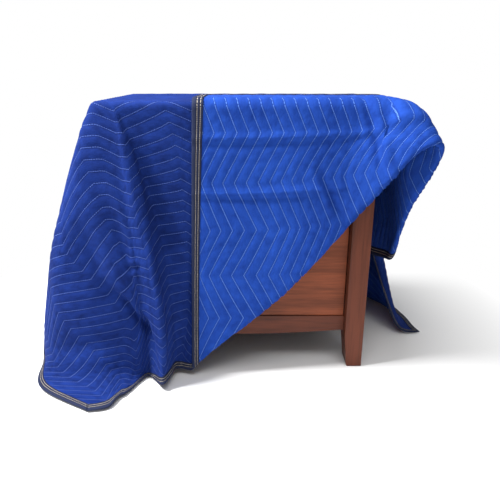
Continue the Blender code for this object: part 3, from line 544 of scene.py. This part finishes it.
def shared_rise(p, q):
    """What both faces of the cloth rise by: creases and slight unevenness."""
    free = freedom(p, q)
    loose = uneven(p, q, LOOSE_SIZE, LOOSE_SEED) * LOOSE_HEIGHT * free
    flap = eased((p - q - FOLD_START - FLAP_START) / FLAP_ONSET)
    crease = crease_rise(p, q)
    return loose * (1 - LESS_ON_FLAP * flap) + crease * np.where(flap > 0.5, 1, free)


def puff(p, q, channel):
    """Height of the stuffed channel above its seams, from 0 to about 1."""
    across = np.sin(math.pi * (channel - np.floor(channel)))
    fullness = FULLNESS
    for share, size, seed in FULLNESS_UNEVEN:
        fullness = fullness + share * uneven(p, q, size, seed)
    full = np.clip(across, 0, 1) ** ROUNDNESS * fullness
    return full * eased((hem_distance(p, q) - PUFF_FROM_HEM) / PUFF_ONSET)


def solid_shift():
    """From the drape's own coordinates to the frame's."""
    low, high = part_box("top_board")
    return Vector((
        (low[0] + high[0]) / 2 - (BOARD_LEFT + BOARD_RIGHT) / 2,
        (low[1] + high[1]) / 2 - (BOARD_FRONT + BOARD_BACK) / 2,
        0,
    ))


def face_grid(seam_gap):
    """Flat places of a quilted face: columns across the width, rows along the seams."""
    first = math.ceil(-ZIGZAG_PEAK / HALF_PERIOD * COLUMNS_IN_HALF)
    last = math.floor((BLANKET_WIDTH - ZIGZAG_PEAK) / HALF_PERIOD * COLUMNS_IN_HALF)
    inner = ZIGZAG_PEAK + np.arange(first, last + 1) * HALF_PERIOD / COLUMNS_IN_HALF
    near = UNDER_TAPE + COLUMN_MARGIN
    inner = inner[(inner > near) & (inner < BLANKET_WIDTH - near)]
    columns = np.concatenate([[UNDER_TAPE], inner, [BLANKET_WIDTH - UNDER_TAPE]])
    step = seam_gap / ROWS_IN_CHANNEL
    low = math.floor((UNDER_TAPE - ZIGZAG_HEIGHT / 2) / step) - 1
    high = math.ceil((BLANKET_LENGTH - UNDER_TAPE + ZIGZAG_HEIGHT / 2) / step)
    rows = np.arange(low, high + 1)
    p = np.repeat(columns[None, :], len(rows), axis=0)
    q = zigzag(p) + rows[:, None] * step
    for _ in range(SEAM_ROUNDS):
        q = zigzag(seam_place(p, q)) + rows[:, None] * step
    q = np.clip(q, UNDER_TAPE, BLANKET_LENGTH - UNDER_TAPE)
    return p, q


def grid_faces(p, q):
    """Quads and, where rows meet the hem, triangles of the grid."""
    rows, columns = p.shape
    faces = []
    index = np.arange(rows * columns).reshape(rows, columns)
    for i in range(rows - 1):
        same = np.abs(q[i + 1] - q[i]) < SAME_ROW
        below, above = index[i], index[i + 1]
        for j in range(columns - 1):
            if same[j] and same[j + 1]:
                continue
            face = [below[j], below[j + 1], above[j + 1], above[j]]
            if same[j]:
                del face[3]
            elif same[j + 1]:
                del face[2]
            faces.append(tuple(int(k) for k in face))
    return faces


def new_object(name, points, faces, material):
    """A smooth mesh object in the scene's collection."""
    mesh = bpy.data.meshes.new(name)
    mesh.from_pydata([tuple(point) for point in points], [], faces)
    mesh.materials.append(material)
    mesh.shade_smooth()
    mesh.update()
    thing = bpy.data.objects.new(name, mesh)
    bpy.context.scene.collection.objects.link(thing)
    return thing


def keep_flat_places(thing, p, q):
    """Stores each point's place in the flat cloth for the material to read."""
    layer = thing.data.attributes.new("flat_place", "FLOAT_VECTOR", "POINT")
    values = np.stack([p, q, np.zeros(len(p))], -1).astype(np.float32)
    layer.data.foreach_set("vector", values.ravel())


def drop_loose_points(p, q, points, faces):
    """Leaves out the points that no face uses."""
    used = np.zeros(len(points), bool)
    for face in faces:
        used[list(face)] = True
    new = np.cumsum(used) - 1
    faces = [tuple(int(new[k]) for k in face) for face in faces]
    return p[used], q[used], points[used], faces


def make_face(name, outer, sizes, material):
    """One quilted face of the blanket, as a fine sheet over the plain solid."""
    p, q = face_grid(sizes.seam_gap)
    faces = grid_faces(p, q)
    p, q = p.ravel(), q.ravel()
    channel = (q - zigzag(seam_place(p, q))) / sizes.seam_gap
    height = puff(p, q, channel)
    shared = shared_rise(p, q)
    if outer:
        rise = SEAM_RISE + sizes.outer_puff * height + shared
    else:
        free = np.where(p - q > FOLD_START, 1, freedom(p, q))
        deep = PUFF_ON_BOARD + (sizes.inner_puff - PUFF_ON_BOARD) * free
        rise = -SEAM_RISE - deep * height + shared
        faces = [face[::-1] for face in faces]
    points = folded(p, q, rise) + np.array(solid_shift())
    p, q, points, faces = drop_loose_points(p, q, points, faces)
    thing = new_object(name, points, faces, material)
    keep_flat_places(thing, seam_place(p, q), q)
    return thing


# The hem tapes: where each starts, its way along, its way into the cloth, and its length
HEMS = {
    "front_binding": ((0, 0), (1, 0), (0, 1), BLANKET_WIDTH),
    "right_binding": ((BLANKET_WIDTH, 0), (0, 1), (-1, 0), BLANKET_LENGTH),
    "back_binding": ((BLANKET_WIDTH, BLANKET_LENGTH), (-1, 0), (0, -1), BLANKET_WIDTH),
    "left_binding": ((0, BLANKET_LENGTH), (0, -1), (1, 0), BLANKET_LENGTH),
}
# Section of a tape, from its outer free edge round the hem: depth into the cloth and rise
TAPE_SECTION = (
    (0.0270, 0.0016), (0.0266, 0.0026), (0.0250, 0.0028), (0.0212, 0.0026), (0.0205, 0.0021),
    (0.0198, 0.0026), (0.0160, 0.0030), (0.0127, 0.0027), (0.0120, 0.0021), (0.0113, 0.0027),
    (0.0070, 0.0031), (0.0025, 0.0029), (-0.0004, 0.0022), (-0.0016, 0.0009),
)
# The mitre's gap, how far from a corner the tape leans to it, and the step between sections
MITRE_GAP = 0.0003
MITRE_REACH = 0.18
TAPE_STEP = 0.0065
# Unevenness of the section as share, size of its bumps and seed; then the size of the puckers,
# their seed, how much finer they are across the tape, and their share on each side
SECTION_UNEVEN = (0.10, 0.03, 12)
PUCKER_SIZE, PUCKER_SEED = 0.012, 11
PUCKER_FINER, PUCKER_SHARE = 3, 0.5


def tube_faces(count, size):
    """Faces of a tube with size points round it at each of its steps, closed at both ends."""
    faces = []
    for i in range(count):
        for j in range(size):
            a, b = i * size + j, i * size + (j + 1) % size
            faces.append((a, b, b + size, a + size))
    faces.append(tuple(range(size))[::-1])
    faces.append(tuple(range(count * size, (count + 1) * size)))
    return faces


def tape_rise(here, depth, rise, pucker_height):
    """Height of a tape's section above the cloth's middle, slightly uneven and puckered."""
    pucker = pucker_height * uneven(here, depth * PUCKER_FINER, PUCKER_SIZE, PUCKER_SEED)
    wave = pucker * np.sin(math.pi * np.clip(depth / TAPE_WIDTH, 0, 1))
    share, size, seed = SECTION_UNEVEN
    return rise * (1 + share * uneven(here, depth, size, seed)) + wave * np.sign(rise) * PUCKER_SHARE


def make_tape(name, sizes, material):
    """One hem tape folded round the edge, mitred at its ends."""
    start, way, into, length = HEMS[name]
    count = int(length / TAPE_STEP)
    along = np.linspace(0, length, count + 1)
    section = np.array(TAPE_SECTION + tuple((d, -r) for d, r in TAPE_SECTION[::-1]))
    depth, rise = section[:, 0], section[:, 1]
    lean = np.clip(1 - along / MITRE_REACH, 0, 1)
    lean = lean - np.clip(1 - (length - along) / MITRE_REACH, 0, 1)
    here = along[:, None] + lean[:, None] * depth[None, :]
    here[0] += MITRE_GAP
    here[-1] -= MITRE_GAP
    p = start[0] + here * way[0] + depth * into[0]
    q = start[1] + here * way[1] + depth * into[1]
    high = tape_rise(here, depth, rise, sizes.tape_pucker)
    points = folded(p, q, high + shared_rise(p, q)) + np.array(solid_shift())
    faces = tube_faces(count, len(section))
    thing = new_object(name.replace("binding", "tape"), points.reshape(-1, 3), faces, material)
    flat = np.stack([here, np.broadcast_to(depth, here.shape)], -1).reshape(-1, 2)
    keep_flat_places(thing, flat[:, 0], flat[:, 1])
    return thing


def new_material(name):
    """A node material with its shader and the tools to add to it."""
    material = bpy.data.materials.new(name)
    material.use_nodes = True
    tree = material.node_tree
    return material, tree, tree.nodes["Principled BSDF"]


def feed(tree, value, socket):
    """Gives an input another node's output, a number or a colour, or leaves it for None."""
    if value is None:
        return
    if hasattr(value, "links"):
        tree.links.new(value, socket)
    elif socket.type == "RGBA":
        socket.default_value = (*value, 1)
    else:
        socket.default_value = value


def add_node(tree, kind, inputs=(), **values):
    """A new node of some kind, with its values set and its inputs fed by name or number."""
    node = tree.nodes.new(kind)
    for name, value in values.items():
        setattr(node, name, value)
    for name, value in dict(inputs).items():
        feed(tree, value, node.inputs[name])
    return node


def math_node(tree, operation, first, second=None):
    """A maths node whose inputs are sockets or numbers."""
    inputs = {0: first, 1: second}
    return add_node(tree, "ShaderNodeMath", inputs, operation=operation).outputs[0]


def weighted(tree, first, second, share):
    """A share of the first number and the rest of the second."""
    part = math_node(tree, "MULTIPLY", first, share)
    return math_node(tree, "ADD", part, math_node(tree, "MULTIPLY", second, 1 - share))


def colour_mix(tree, share, first, second):
    """A colour between two, by a share; the node's inputs 6 and 7 are its two colours."""
    inputs = {"Factor": share, 6: first, 7: second}
    return add_node(tree, "ShaderNodeMix", inputs, data_type="RGBA").outputs[2]


def noise(tree, vector, scale, detail):
    """Smooth noise between 0 and 1."""
    inputs = {"Scale": scale, "Detail": detail, "Vector": vector}
    return add_node(tree, "ShaderNodeTexNoise", inputs).outputs["Fac"]


def ramp(tree, value, low, high, start=0.0, end=1.0):
    """start below low, end above high, evenly from one to the other in between."""
    inputs = {"From Min": low, "From Max": high, "To Min": start, "To Max": end, "Value": value}
    return add_node(tree, "ShaderNodeMapRange", inputs, clamp=True).outputs["Result"]


def bump(tree, height, distance, strength, below=None):
    """Normals bumped by a height, over those of another bump."""
    inputs = {"Distance": distance, "Strength": strength, "Height": height, "Normal": below}
    return add_node(tree, "ShaderNodeBump", inputs).outputs["Normal"]


def stitches(tree, along, length, shown):
    """1 on the stitches along a seam and 0 between them, where shown is the stitch's share."""
    place = math_node(tree, "FRACT", math_node(tree, "DIVIDE", along, length))
    return math_node(tree, "LESS_THAN", place, shown)


def finish(tree, shader, colour, normal, roughness, specular):
    """Gives a shader its colour, its bumps and its shine."""
    feed(tree, colour, shader.inputs["Base Color"])
    feed(tree, normal, shader.inputs["Normal"])
    feed(tree, roughness, shader.inputs["Roughness"])
    feed(tree, specular, shader.inputs["Specular IOR Level"])


def flat_place(tree):
    """The flat place as a vector and as its two numbers."""
    place = add_node(tree, "ShaderNodeAttribute", attribute_name="flat_place").outputs["Vector"]
    parts = add_node(tree, "ShaderNodeSeparateXYZ", {0: place}).outputs
    return place, parts["X"], parts["Y"]


def seam_distance(tree, p, q, sizes):
    """Metres from the nearest seam."""
    turn = math_node(tree, "DIVIDE", math_node(tree, "SUBTRACT", p, ZIGZAG_PEAK), 2 * HALF_PERIOD)
    nearest = math_node(tree, "FLOOR", math_node(tree, "ADD", turn, 0.5))
    fold = math_node(tree, "ABSOLUTE", math_node(tree, "SUBTRACT", turn, nearest))
    line = math_node(tree, "MULTIPLY", math_node(tree, "SUBTRACT", 0.25, fold), 2 * ZIGZAG_HEIGHT)
    channel = math_node(tree, "DIVIDE", math_node(tree, "SUBTRACT", q, line), sizes.seam_gap)
    middle = math_node(tree, "SUBTRACT", math_node(tree, "FRACT", channel), 0.5)
    share = math_node(tree, "SUBTRACT", 0.5, math_node(tree, "ABSOLUTE", middle))
    slope = math.cos(math.atan(ZIGZAG_HEIGHT / HALF_PERIOD))
    return math_node(tree, "MULTIPLY", share, sizes.seam_gap * slope)


# Looks of the quilt: each noise is a scale and a detail, each bump a height and a strength, and
# each range the values between which a ramp runs
MOTTLE, PATCH, MOTTLE_SHARE = (45.0, 4.0), (7.0, 2.0), 0.55
LIGHT_RANGE = (0.30, 0.72)
# Painted shade in the seams' grooves: the distances from a seam over which the darkening fades out,
# and the share of the colour kept at the seam
PAINTED_GROOVE_RANGE, PAINTED_GROOVE_SHADE = (0.0002, 0.0035), 0.78
# The thread's soft edge in shares of its width; a stitch's length with its gap, and its share
THREAD_EDGE = (0.25, 0.95)
SEAM_STITCH = (0.0042, 0.72)
THREAD_BUMP = (0.0005, 0.6)
# The weave, crushed spots and fine crinkles: noise and bump
QUILT_BUMPS = (
    ((900.0, 1.0), (0.0004, 0.35)),
    ((62.0, 4.0), (0.0030, 0.60)),
    ((190.0, 3.0), (0.0010, 0.55)),
)
# Roughness and specular level
QUILT_SHINE = (0.90, 0.10)


def quilt_material(name, colour, light, thread, sizes):
    """Brushed woven cloth with fine weave, soft mottling, painted shade beside the seams and the
    seams' pale thread.
    """
    material, tree, shader = new_material(name)
    place, p, q = flat_place(tree)
    share = weighted(tree, noise(tree, place, *MOTTLE), noise(tree, place, *PATCH), MOTTLE_SHARE)
    cloth = colour_mix(tree, ramp(tree, share, *LIGHT_RANGE), colour, light)
    away = seam_distance(tree, p, q, sizes)
    # painted shade: the cloth is darkened beside each seam, where its groove lies in shade
    dark = [PAINTED_GROOVE_SHADE * part for part in colour]
    cloth = colour_mix(tree, ramp(tree, away, *PAINTED_GROOVE_RANGE), dark, cloth)
    edge = ramp(tree, away, *(sizes.thread * part for part in THREAD_EDGE))
    near = math_node(tree, "SUBTRACT", 1.0, edge)
    line = math_node(tree, "MULTIPLY", near, stitches(tree, p, *SEAM_STITCH))
    cloth = colour_mix(tree, line, cloth, thread)
    normal = None
    for grain, height in QUILT_BUMPS:
        normal = bump(tree, noise(tree, place, *grain), *height, normal)
    normal = bump(tree, line, *THREAD_BUMP, normal)
    finish(tree, shader, cloth, normal, *QUILT_SHINE)
    return material


# Looks of the tape: its fine noise, and in depths from the hem's edge where the pale edge ends
# and where the rows of stitches lie, with the range over which a stitch's side fades
TAPE_FINE, TAPE_FINE_BUMP = (260.0, 3.0), (0.0005, 0.5)
TAPE_EDGE_RANGE = (0.0085, 0.0105)
TAPE_FADE_RANGE = (0.35, 0.75)
TAPE_ROWS = (0.0120, 0.0205)
TAPE_ROW_EDGE = (0.0006, 0.0009)
TAPE_STITCH, TAPE_STITCH_BUMP = (0.0046, 0.70), (0.0006, 0.7)
TAPE_SHINE = (0.80, 0.2)


def tape_material(colours):
    """Woven tape: grey-blue at the hem's edge, dark with two rows of pale stitches inside."""
    material, tree, shader = new_material("hem_tape")
    place, along, depth = flat_place(tree)
    fine = noise(tree, place, *TAPE_FINE)
    inner = ramp(tree, depth, *TAPE_EDGE_RANGE)
    cloth = colour_mix(tree, inner, colours.tape_edge, colours.tape_inner)
    cloth = colour_mix(tree, ramp(tree, fine, *TAPE_FADE_RANGE), cloth, colours.tape_edge)
    off = (math_node(tree, "SUBTRACT", depth, row) for row in TAPE_ROWS)
    off = (math_node(tree, "ABSOLUTE", distance) for distance in off)
    nearest = math_node(tree, "MINIMUM", *off)
    rows = math_node(tree, "SUBTRACT", 1.0, ramp(tree, nearest, *TAPE_ROW_EDGE))
    rows = math_node(tree, "MULTIPLY", rows, stitches(tree, along, *TAPE_STITCH))
    cloth = colour_mix(tree, rows, cloth, colours.tape_thread)
    normal = bump(tree, fine, *TAPE_FINE_BUMP)
    normal = bump(tree, rows, *TAPE_STITCH_BUMP, normal)
    finish(tree, shader, cloth, normal, *TAPE_SHINE)
    return material


# Looks of the wood: how far its grain is drawn out, its wide and fine grain, and its stain
GRAIN_STRETCH = 0.06
WIDE_GRAIN, FINE_GRAIN, WIDE_SHARE = (26.0, 4.0), (190.0, 5.0), 0.6
STAIN_RANGE, STAIN_SHADE = (0.36, 0.60), 0.45
WOOD_BUMP = (0.0006, 0.3)
WOOD_ROUGHNESS, WOOD_SPECULAR = (0.36, 0.52), 0.2


def wood_material(name, colour, along):
    """Stained wood with its grain along one axis."""
    material, tree, shader = new_material(name)
    place = add_node(tree, "ShaderNodeTexCoord").outputs["Object"]
    scale = [1.0, 1.0, 1.0]
    scale[along] = GRAIN_STRETCH
    inputs = {"Scale": scale, "Vector": place}
    stretched = add_node(tree, "ShaderNodeMapping", inputs).outputs["Vector"]
    wide = noise(tree, stretched, *WIDE_GRAIN)
    fine = noise(tree, stretched, *FINE_GRAIN)
    share = weighted(tree, wide, fine, WIDE_SHARE)
    dark = [STAIN_SHADE * part for part in colour]
    stain = colour_mix(tree, ramp(tree, share, *STAIN_RANGE), dark, colour)
    rough = ramp(tree, fine, 0.0, 1.0, *WOOD_ROUGHNESS)
    finish(tree, shader, stain, bump(tree, fine, *WOOD_BUMP), rough, WOOD_SPECULAR)
    return material


def length_value(name, description, default):
    """A length that the panel shows."""
    return FloatProperty(name=name, description=description, default=default, unit="LENGTH")


def colour_value(name, description, default):
    """A colour that the panel shows."""
    return FloatVectorProperty(name=name, description=description, default=default, subtype="COLOR")


class BlanketSizes(PropertyGroup):
    """Sizes of the quilting and the hem tape."""

    seam_gap: length_value("Seam gap", "Distance between two seams along the blanket", SEAM_GAP)
    outer_puff: length_value("Outer puff", "Height of a channel on the outer face", 0.0016)
    inner_puff: length_value("Inner puff", "Height of a channel on the underside", 0.0018)
    thread: length_value("Thread", "Width of the quilting thread", 0.0013)
    tape_pucker: length_value("Tape pucker", "Height of the hem tape's puckers", 0.0004)


class BlanketColours(PropertyGroup):
    """Colours of the cloth, the thread, the tape and the wood."""

    outer: colour_value("Outer face", "Navy of the outer face", (0.0034, 0.0122, 0.086))
    outer_light: colour_value("Outer face, light", "Its lighter patches", (0.0094, 0.0325, 0.205))
    inner: colour_value("Underside", "Blue of the underside", (0.0066, 0.032, 0.215))
    inner_light: colour_value("Underside, light", "Its lighter patches", (0.0165, 0.072, 0.410))
    thread: colour_value("Thread", "Quilting thread on the underside", (0.115, 0.245, 0.72))
    outer_thread: colour_value(
        "Outer thread", "Quilting thread on the outer face", (0.070, 0.125, 0.42),
    )
    tape_edge: colour_value("Tape edge", "Tape at the hem's edge", (0.013, 0.019, 0.052))
    tape_inner: colour_value("Tape", "Tape beside the stitches", (0.010, 0.013, 0.030))
    tape_thread: colour_value("Tape thread", "Stitches of the tape", (0.50, 0.44, 0.36))
    wood: colour_value("Wood", "Stained wood of the frame", (0.142, 0.037, 0.018))
    panel: colour_value("Panels", "Stained wood of the panels", (0.295, 0.075, 0.030))


class StageValues(PropertyGroup):
    """The camera and the light."""

    floor_half: length_value("Floor", "Half the floor's side", 4.0)
    pitch: FloatProperty(
        name="Pitch", description="How far the camera looks down", default=math.radians(19.65),
        subtype="ANGLE",
    )
    key: FloatProperty(name="Key light", description="Lamp high at the left", default=225.0)
    fill: FloatProperty(name="Fill light", description="Lamp above the front", default=30.0)
    around: FloatProperty(name="Around", description="Strength of the even light", default=0.34)


# The two faces of the quilt
FACES = ("quilted_outer_face", "quilted_underside")
# The cabinet's pieces by their finish, and in it by the axis of their grain: x, y and z
GRAIN = {
    "wood": (
        ("top_board", "front_rail", "back_rail"), ("left_rail", "right_rail"),
        ("leg_front_left", "leg_front_right", "leg_back_left", "leg_back_right"),
    ),
    "panel": (("front_panel", "back_panel"), ("left_panel", "right_panel")),
}


class BLANKET_OT_faces(Operator):
    """Make the quilted outer face and the underside"""

    bl_idname = "blanket.faces"
    bl_label = "Quilted faces"

    def execute(self, context):
        sizes, colours = context.scene.blanket_sizes, context.scene.blanket_colours
        outer_cloth = quilt_material(
            "outer_cloth", colours.outer, colours.outer_light, colours.outer_thread, sizes,
        )
        inner_cloth = quilt_material(
            "under_cloth", colours.inner, colours.inner_light, colours.thread, sizes,
        )
        outer = make_face(FACES[0], True, sizes, outer_cloth)
        inner = make_face(FACES[1], False, sizes, inner_cloth)
        for thing in (outer, inner):
            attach(thing, "root")
            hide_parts("quilted_cloth")
        return {"FINISHED"}


class BLANKET_OT_tapes(Operator):
    """Make the four hem tapes, attach them to the root and hide the model's bindings"""

    bl_idname = "blanket.tapes"
    bl_label = "Hem tapes"

    def execute(self, context):
        sizes, colours = context.scene.blanket_sizes, context.scene.blanket_colours
        cloth = tape_material(colours)
        for name in HEMS:
            tape = make_tape(name, sizes, cloth)
            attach(tape, "root")
            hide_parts(name)
        return {"FINISHED"}


class BLANKET_OT_wood(Operator):
    """Give the cabinet's pieces their stained wood"""

    bl_idname = "blanket.wood"
    bl_label = "Cabinet wood"

    def execute(self, context):
        colours = context.scene.blanket_colours
        for kind, groups in GRAIN.items():
            for along, pieces in enumerate(groups):
                name = f"stained_{kind}_{'xyz'[along]}"
                stained = wood_material(name, getattr(colours, kind), along)
                for piece in pieces:
                    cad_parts[piece].material_slots[0].material = stained
        return {"FINISHED"}


# Metres from the object between which the floor turns white, and its look
FLOOR_FADE = (0.60, 1.05)
FLOOR_COLOUR, FLOOR_ROUGHNESS = (0.90, 0.90, 0.90), 0.9
# Place, target and size of each lamp, and the camera's place and lens
KEY_LAMP = ((-1.7, -0.6, 2.8), (0, 0, 0.4), (0.8, 0.8))
ABOVE_LAMP = ((0.3, -1.4, 2.8), (0, 0, 0.5), (1.8, 1.2))
CAMERA_PLACE = (0.0, -1.297, 0.834)
LENS, SENSOR = 36.0, 36.0


def add_lamp(name, place, target, size, power):
    """A rectangular lamp that points at its target."""
    light = bpy.data.lights.new(name, "AREA")
    light.shape = "RECTANGLE"
    light.size, light.size_y = size
    light.energy = power
    lamp = bpy.data.objects.new(name, light)
    lamp.location = place
    lamp.rotation_euler = (Vector(target) - Vector(place)).to_track_quat("-Z", "Y").to_euler()
    bpy.context.scene.collection.objects.link(lamp)


def fading_floor():
    """Pale floor that the camera sees turn plain white away from the object."""
    material, tree, shader = new_material("pale_floor")
    feed(tree, FLOOR_COLOUR, shader.inputs["Base Color"])
    feed(tree, FLOOR_ROUGHNESS, shader.inputs["Roughness"])
    place = add_node(tree, "ShaderNodeTexCoord").outputs["Object"]
    away = add_node(tree, "ShaderNodeVectorMath", {0: place}, operation="LENGTH")
    seen = add_node(tree, "ShaderNodeLightPath").outputs["Is Camera Ray"]
    share = math_node(tree, "MULTIPLY", ramp(tree, away.outputs["Value"], *FLOOR_FADE), seen)
    white = add_node(tree, "ShaderNodeEmission")
    inputs = {0: share, 1: shader.outputs[0], 2: white.outputs[0]}
    mix = add_node(tree, "ShaderNodeMixShader", inputs)
    feed(tree, mix.outputs[0], tree.nodes["Material Output"].inputs["Surface"])
    return material


def white_world(strength):
    """Even light of some strength, seen as plain white behind the object."""
    world = bpy.data.worlds.new("even_light")
    world.use_nodes = True
    tree = world.node_tree
    seen = add_node(tree, "ShaderNodeLightPath").outputs["Is Camera Ray"]
    light = tree.nodes["Background"].inputs
    feed(tree, (1, 1, 1), light["Color"])
    more = math_node(tree, "MULTIPLY", seen, 1.0 - strength)
    feed(tree, math_node(tree, "ADD", more, strength), light["Strength"])
    return world


class BLANKET_OT_stage(Operator):
    """Make the floor, the light and the camera"""

    bl_idname = "blanket.stage"
    bl_label = "Stage"

    def execute(self, context):
        values = context.scene.blanket_stage
        half = values.floor_half
        corners = [(-half, -half, 0), (half, -half, 0), (half, half, 0), (-half, half, 0)]
        floor = new_object("floor", corners, [(0, 1, 2, 3)], fading_floor())
        add_lamp("key", *KEY_LAMP, values.key)
        add_lamp("above", *ABOVE_LAMP, values.fill)
        context.scene.world = white_world(values.around)
        lens = bpy.data.cameras.new("camera")
        lens.lens = LENS
        lens.sensor_width = SENSOR
        camera = bpy.data.objects.new("camera", lens)
        camera.location = solid_shift() + Vector(CAMERA_PLACE)
        camera.rotation_euler = (math.pi / 2 - values.pitch, 0, 0)
        context.scene.collection.objects.link(camera)
        context.scene.camera = camera
        context.scene.view_settings.view_transform = "Standard"
        return {"FINISHED"}


class BLANKET_PT_panel(Panel):
    """Lists the steps and the values"""

    bl_label = "Moving blanket"
    bl_idname = "BLANKET_PT_panel"
    bl_space_type = "VIEW_3D"
    bl_region_type = "UI"
    bl_category = "Blanket"

    def draw(self, context):
        layout = self.layout
        for step in STEPS:
            layout.operator(step.bl_idname)
        for group in ("blanket_sizes", "blanket_colours", "blanket_stage"):
            values = getattr(context.scene, group)
            box = layout.box()
            for name in values.__annotations__:
                box.prop(values, name)


STEPS = (BLANKET_OT_stage, BLANKET_OT_faces, BLANKET_OT_tapes, BLANKET_OT_wood)
GROUPS = {
    "blanket_sizes": BlanketSizes,
    "blanket_colours": BlanketColours,
    "blanket_stage": StageValues,
}


def register():
    """Adds the values, the steps and the panel to Blender."""
    for kind in (*GROUPS.values(), *STEPS, BLANKET_PT_panel):
        bpy.utils.register_class(kind)
    for name, kind in GROUPS.items():
        setattr(bpy.types.Scene, name, PointerProperty(type=kind))


def unregister():
    """Takes them out again."""
    for name in GROUPS:
        delattr(bpy.types.Scene, name)
    for kind in (BLANKET_PT_panel, *STEPS[::-1], *GROUPS.values()):
        bpy.utils.unregister_class(kind)


def main():
    """Makes the stage and the pieces."""
    register()
    bpy.ops.blanket.stage()
    bpy.ops.blanket.faces()
    bpy.ops.blanket.tapes()
    bpy.ops.blanket.wood()


if __name__ == "__main__":
    main()
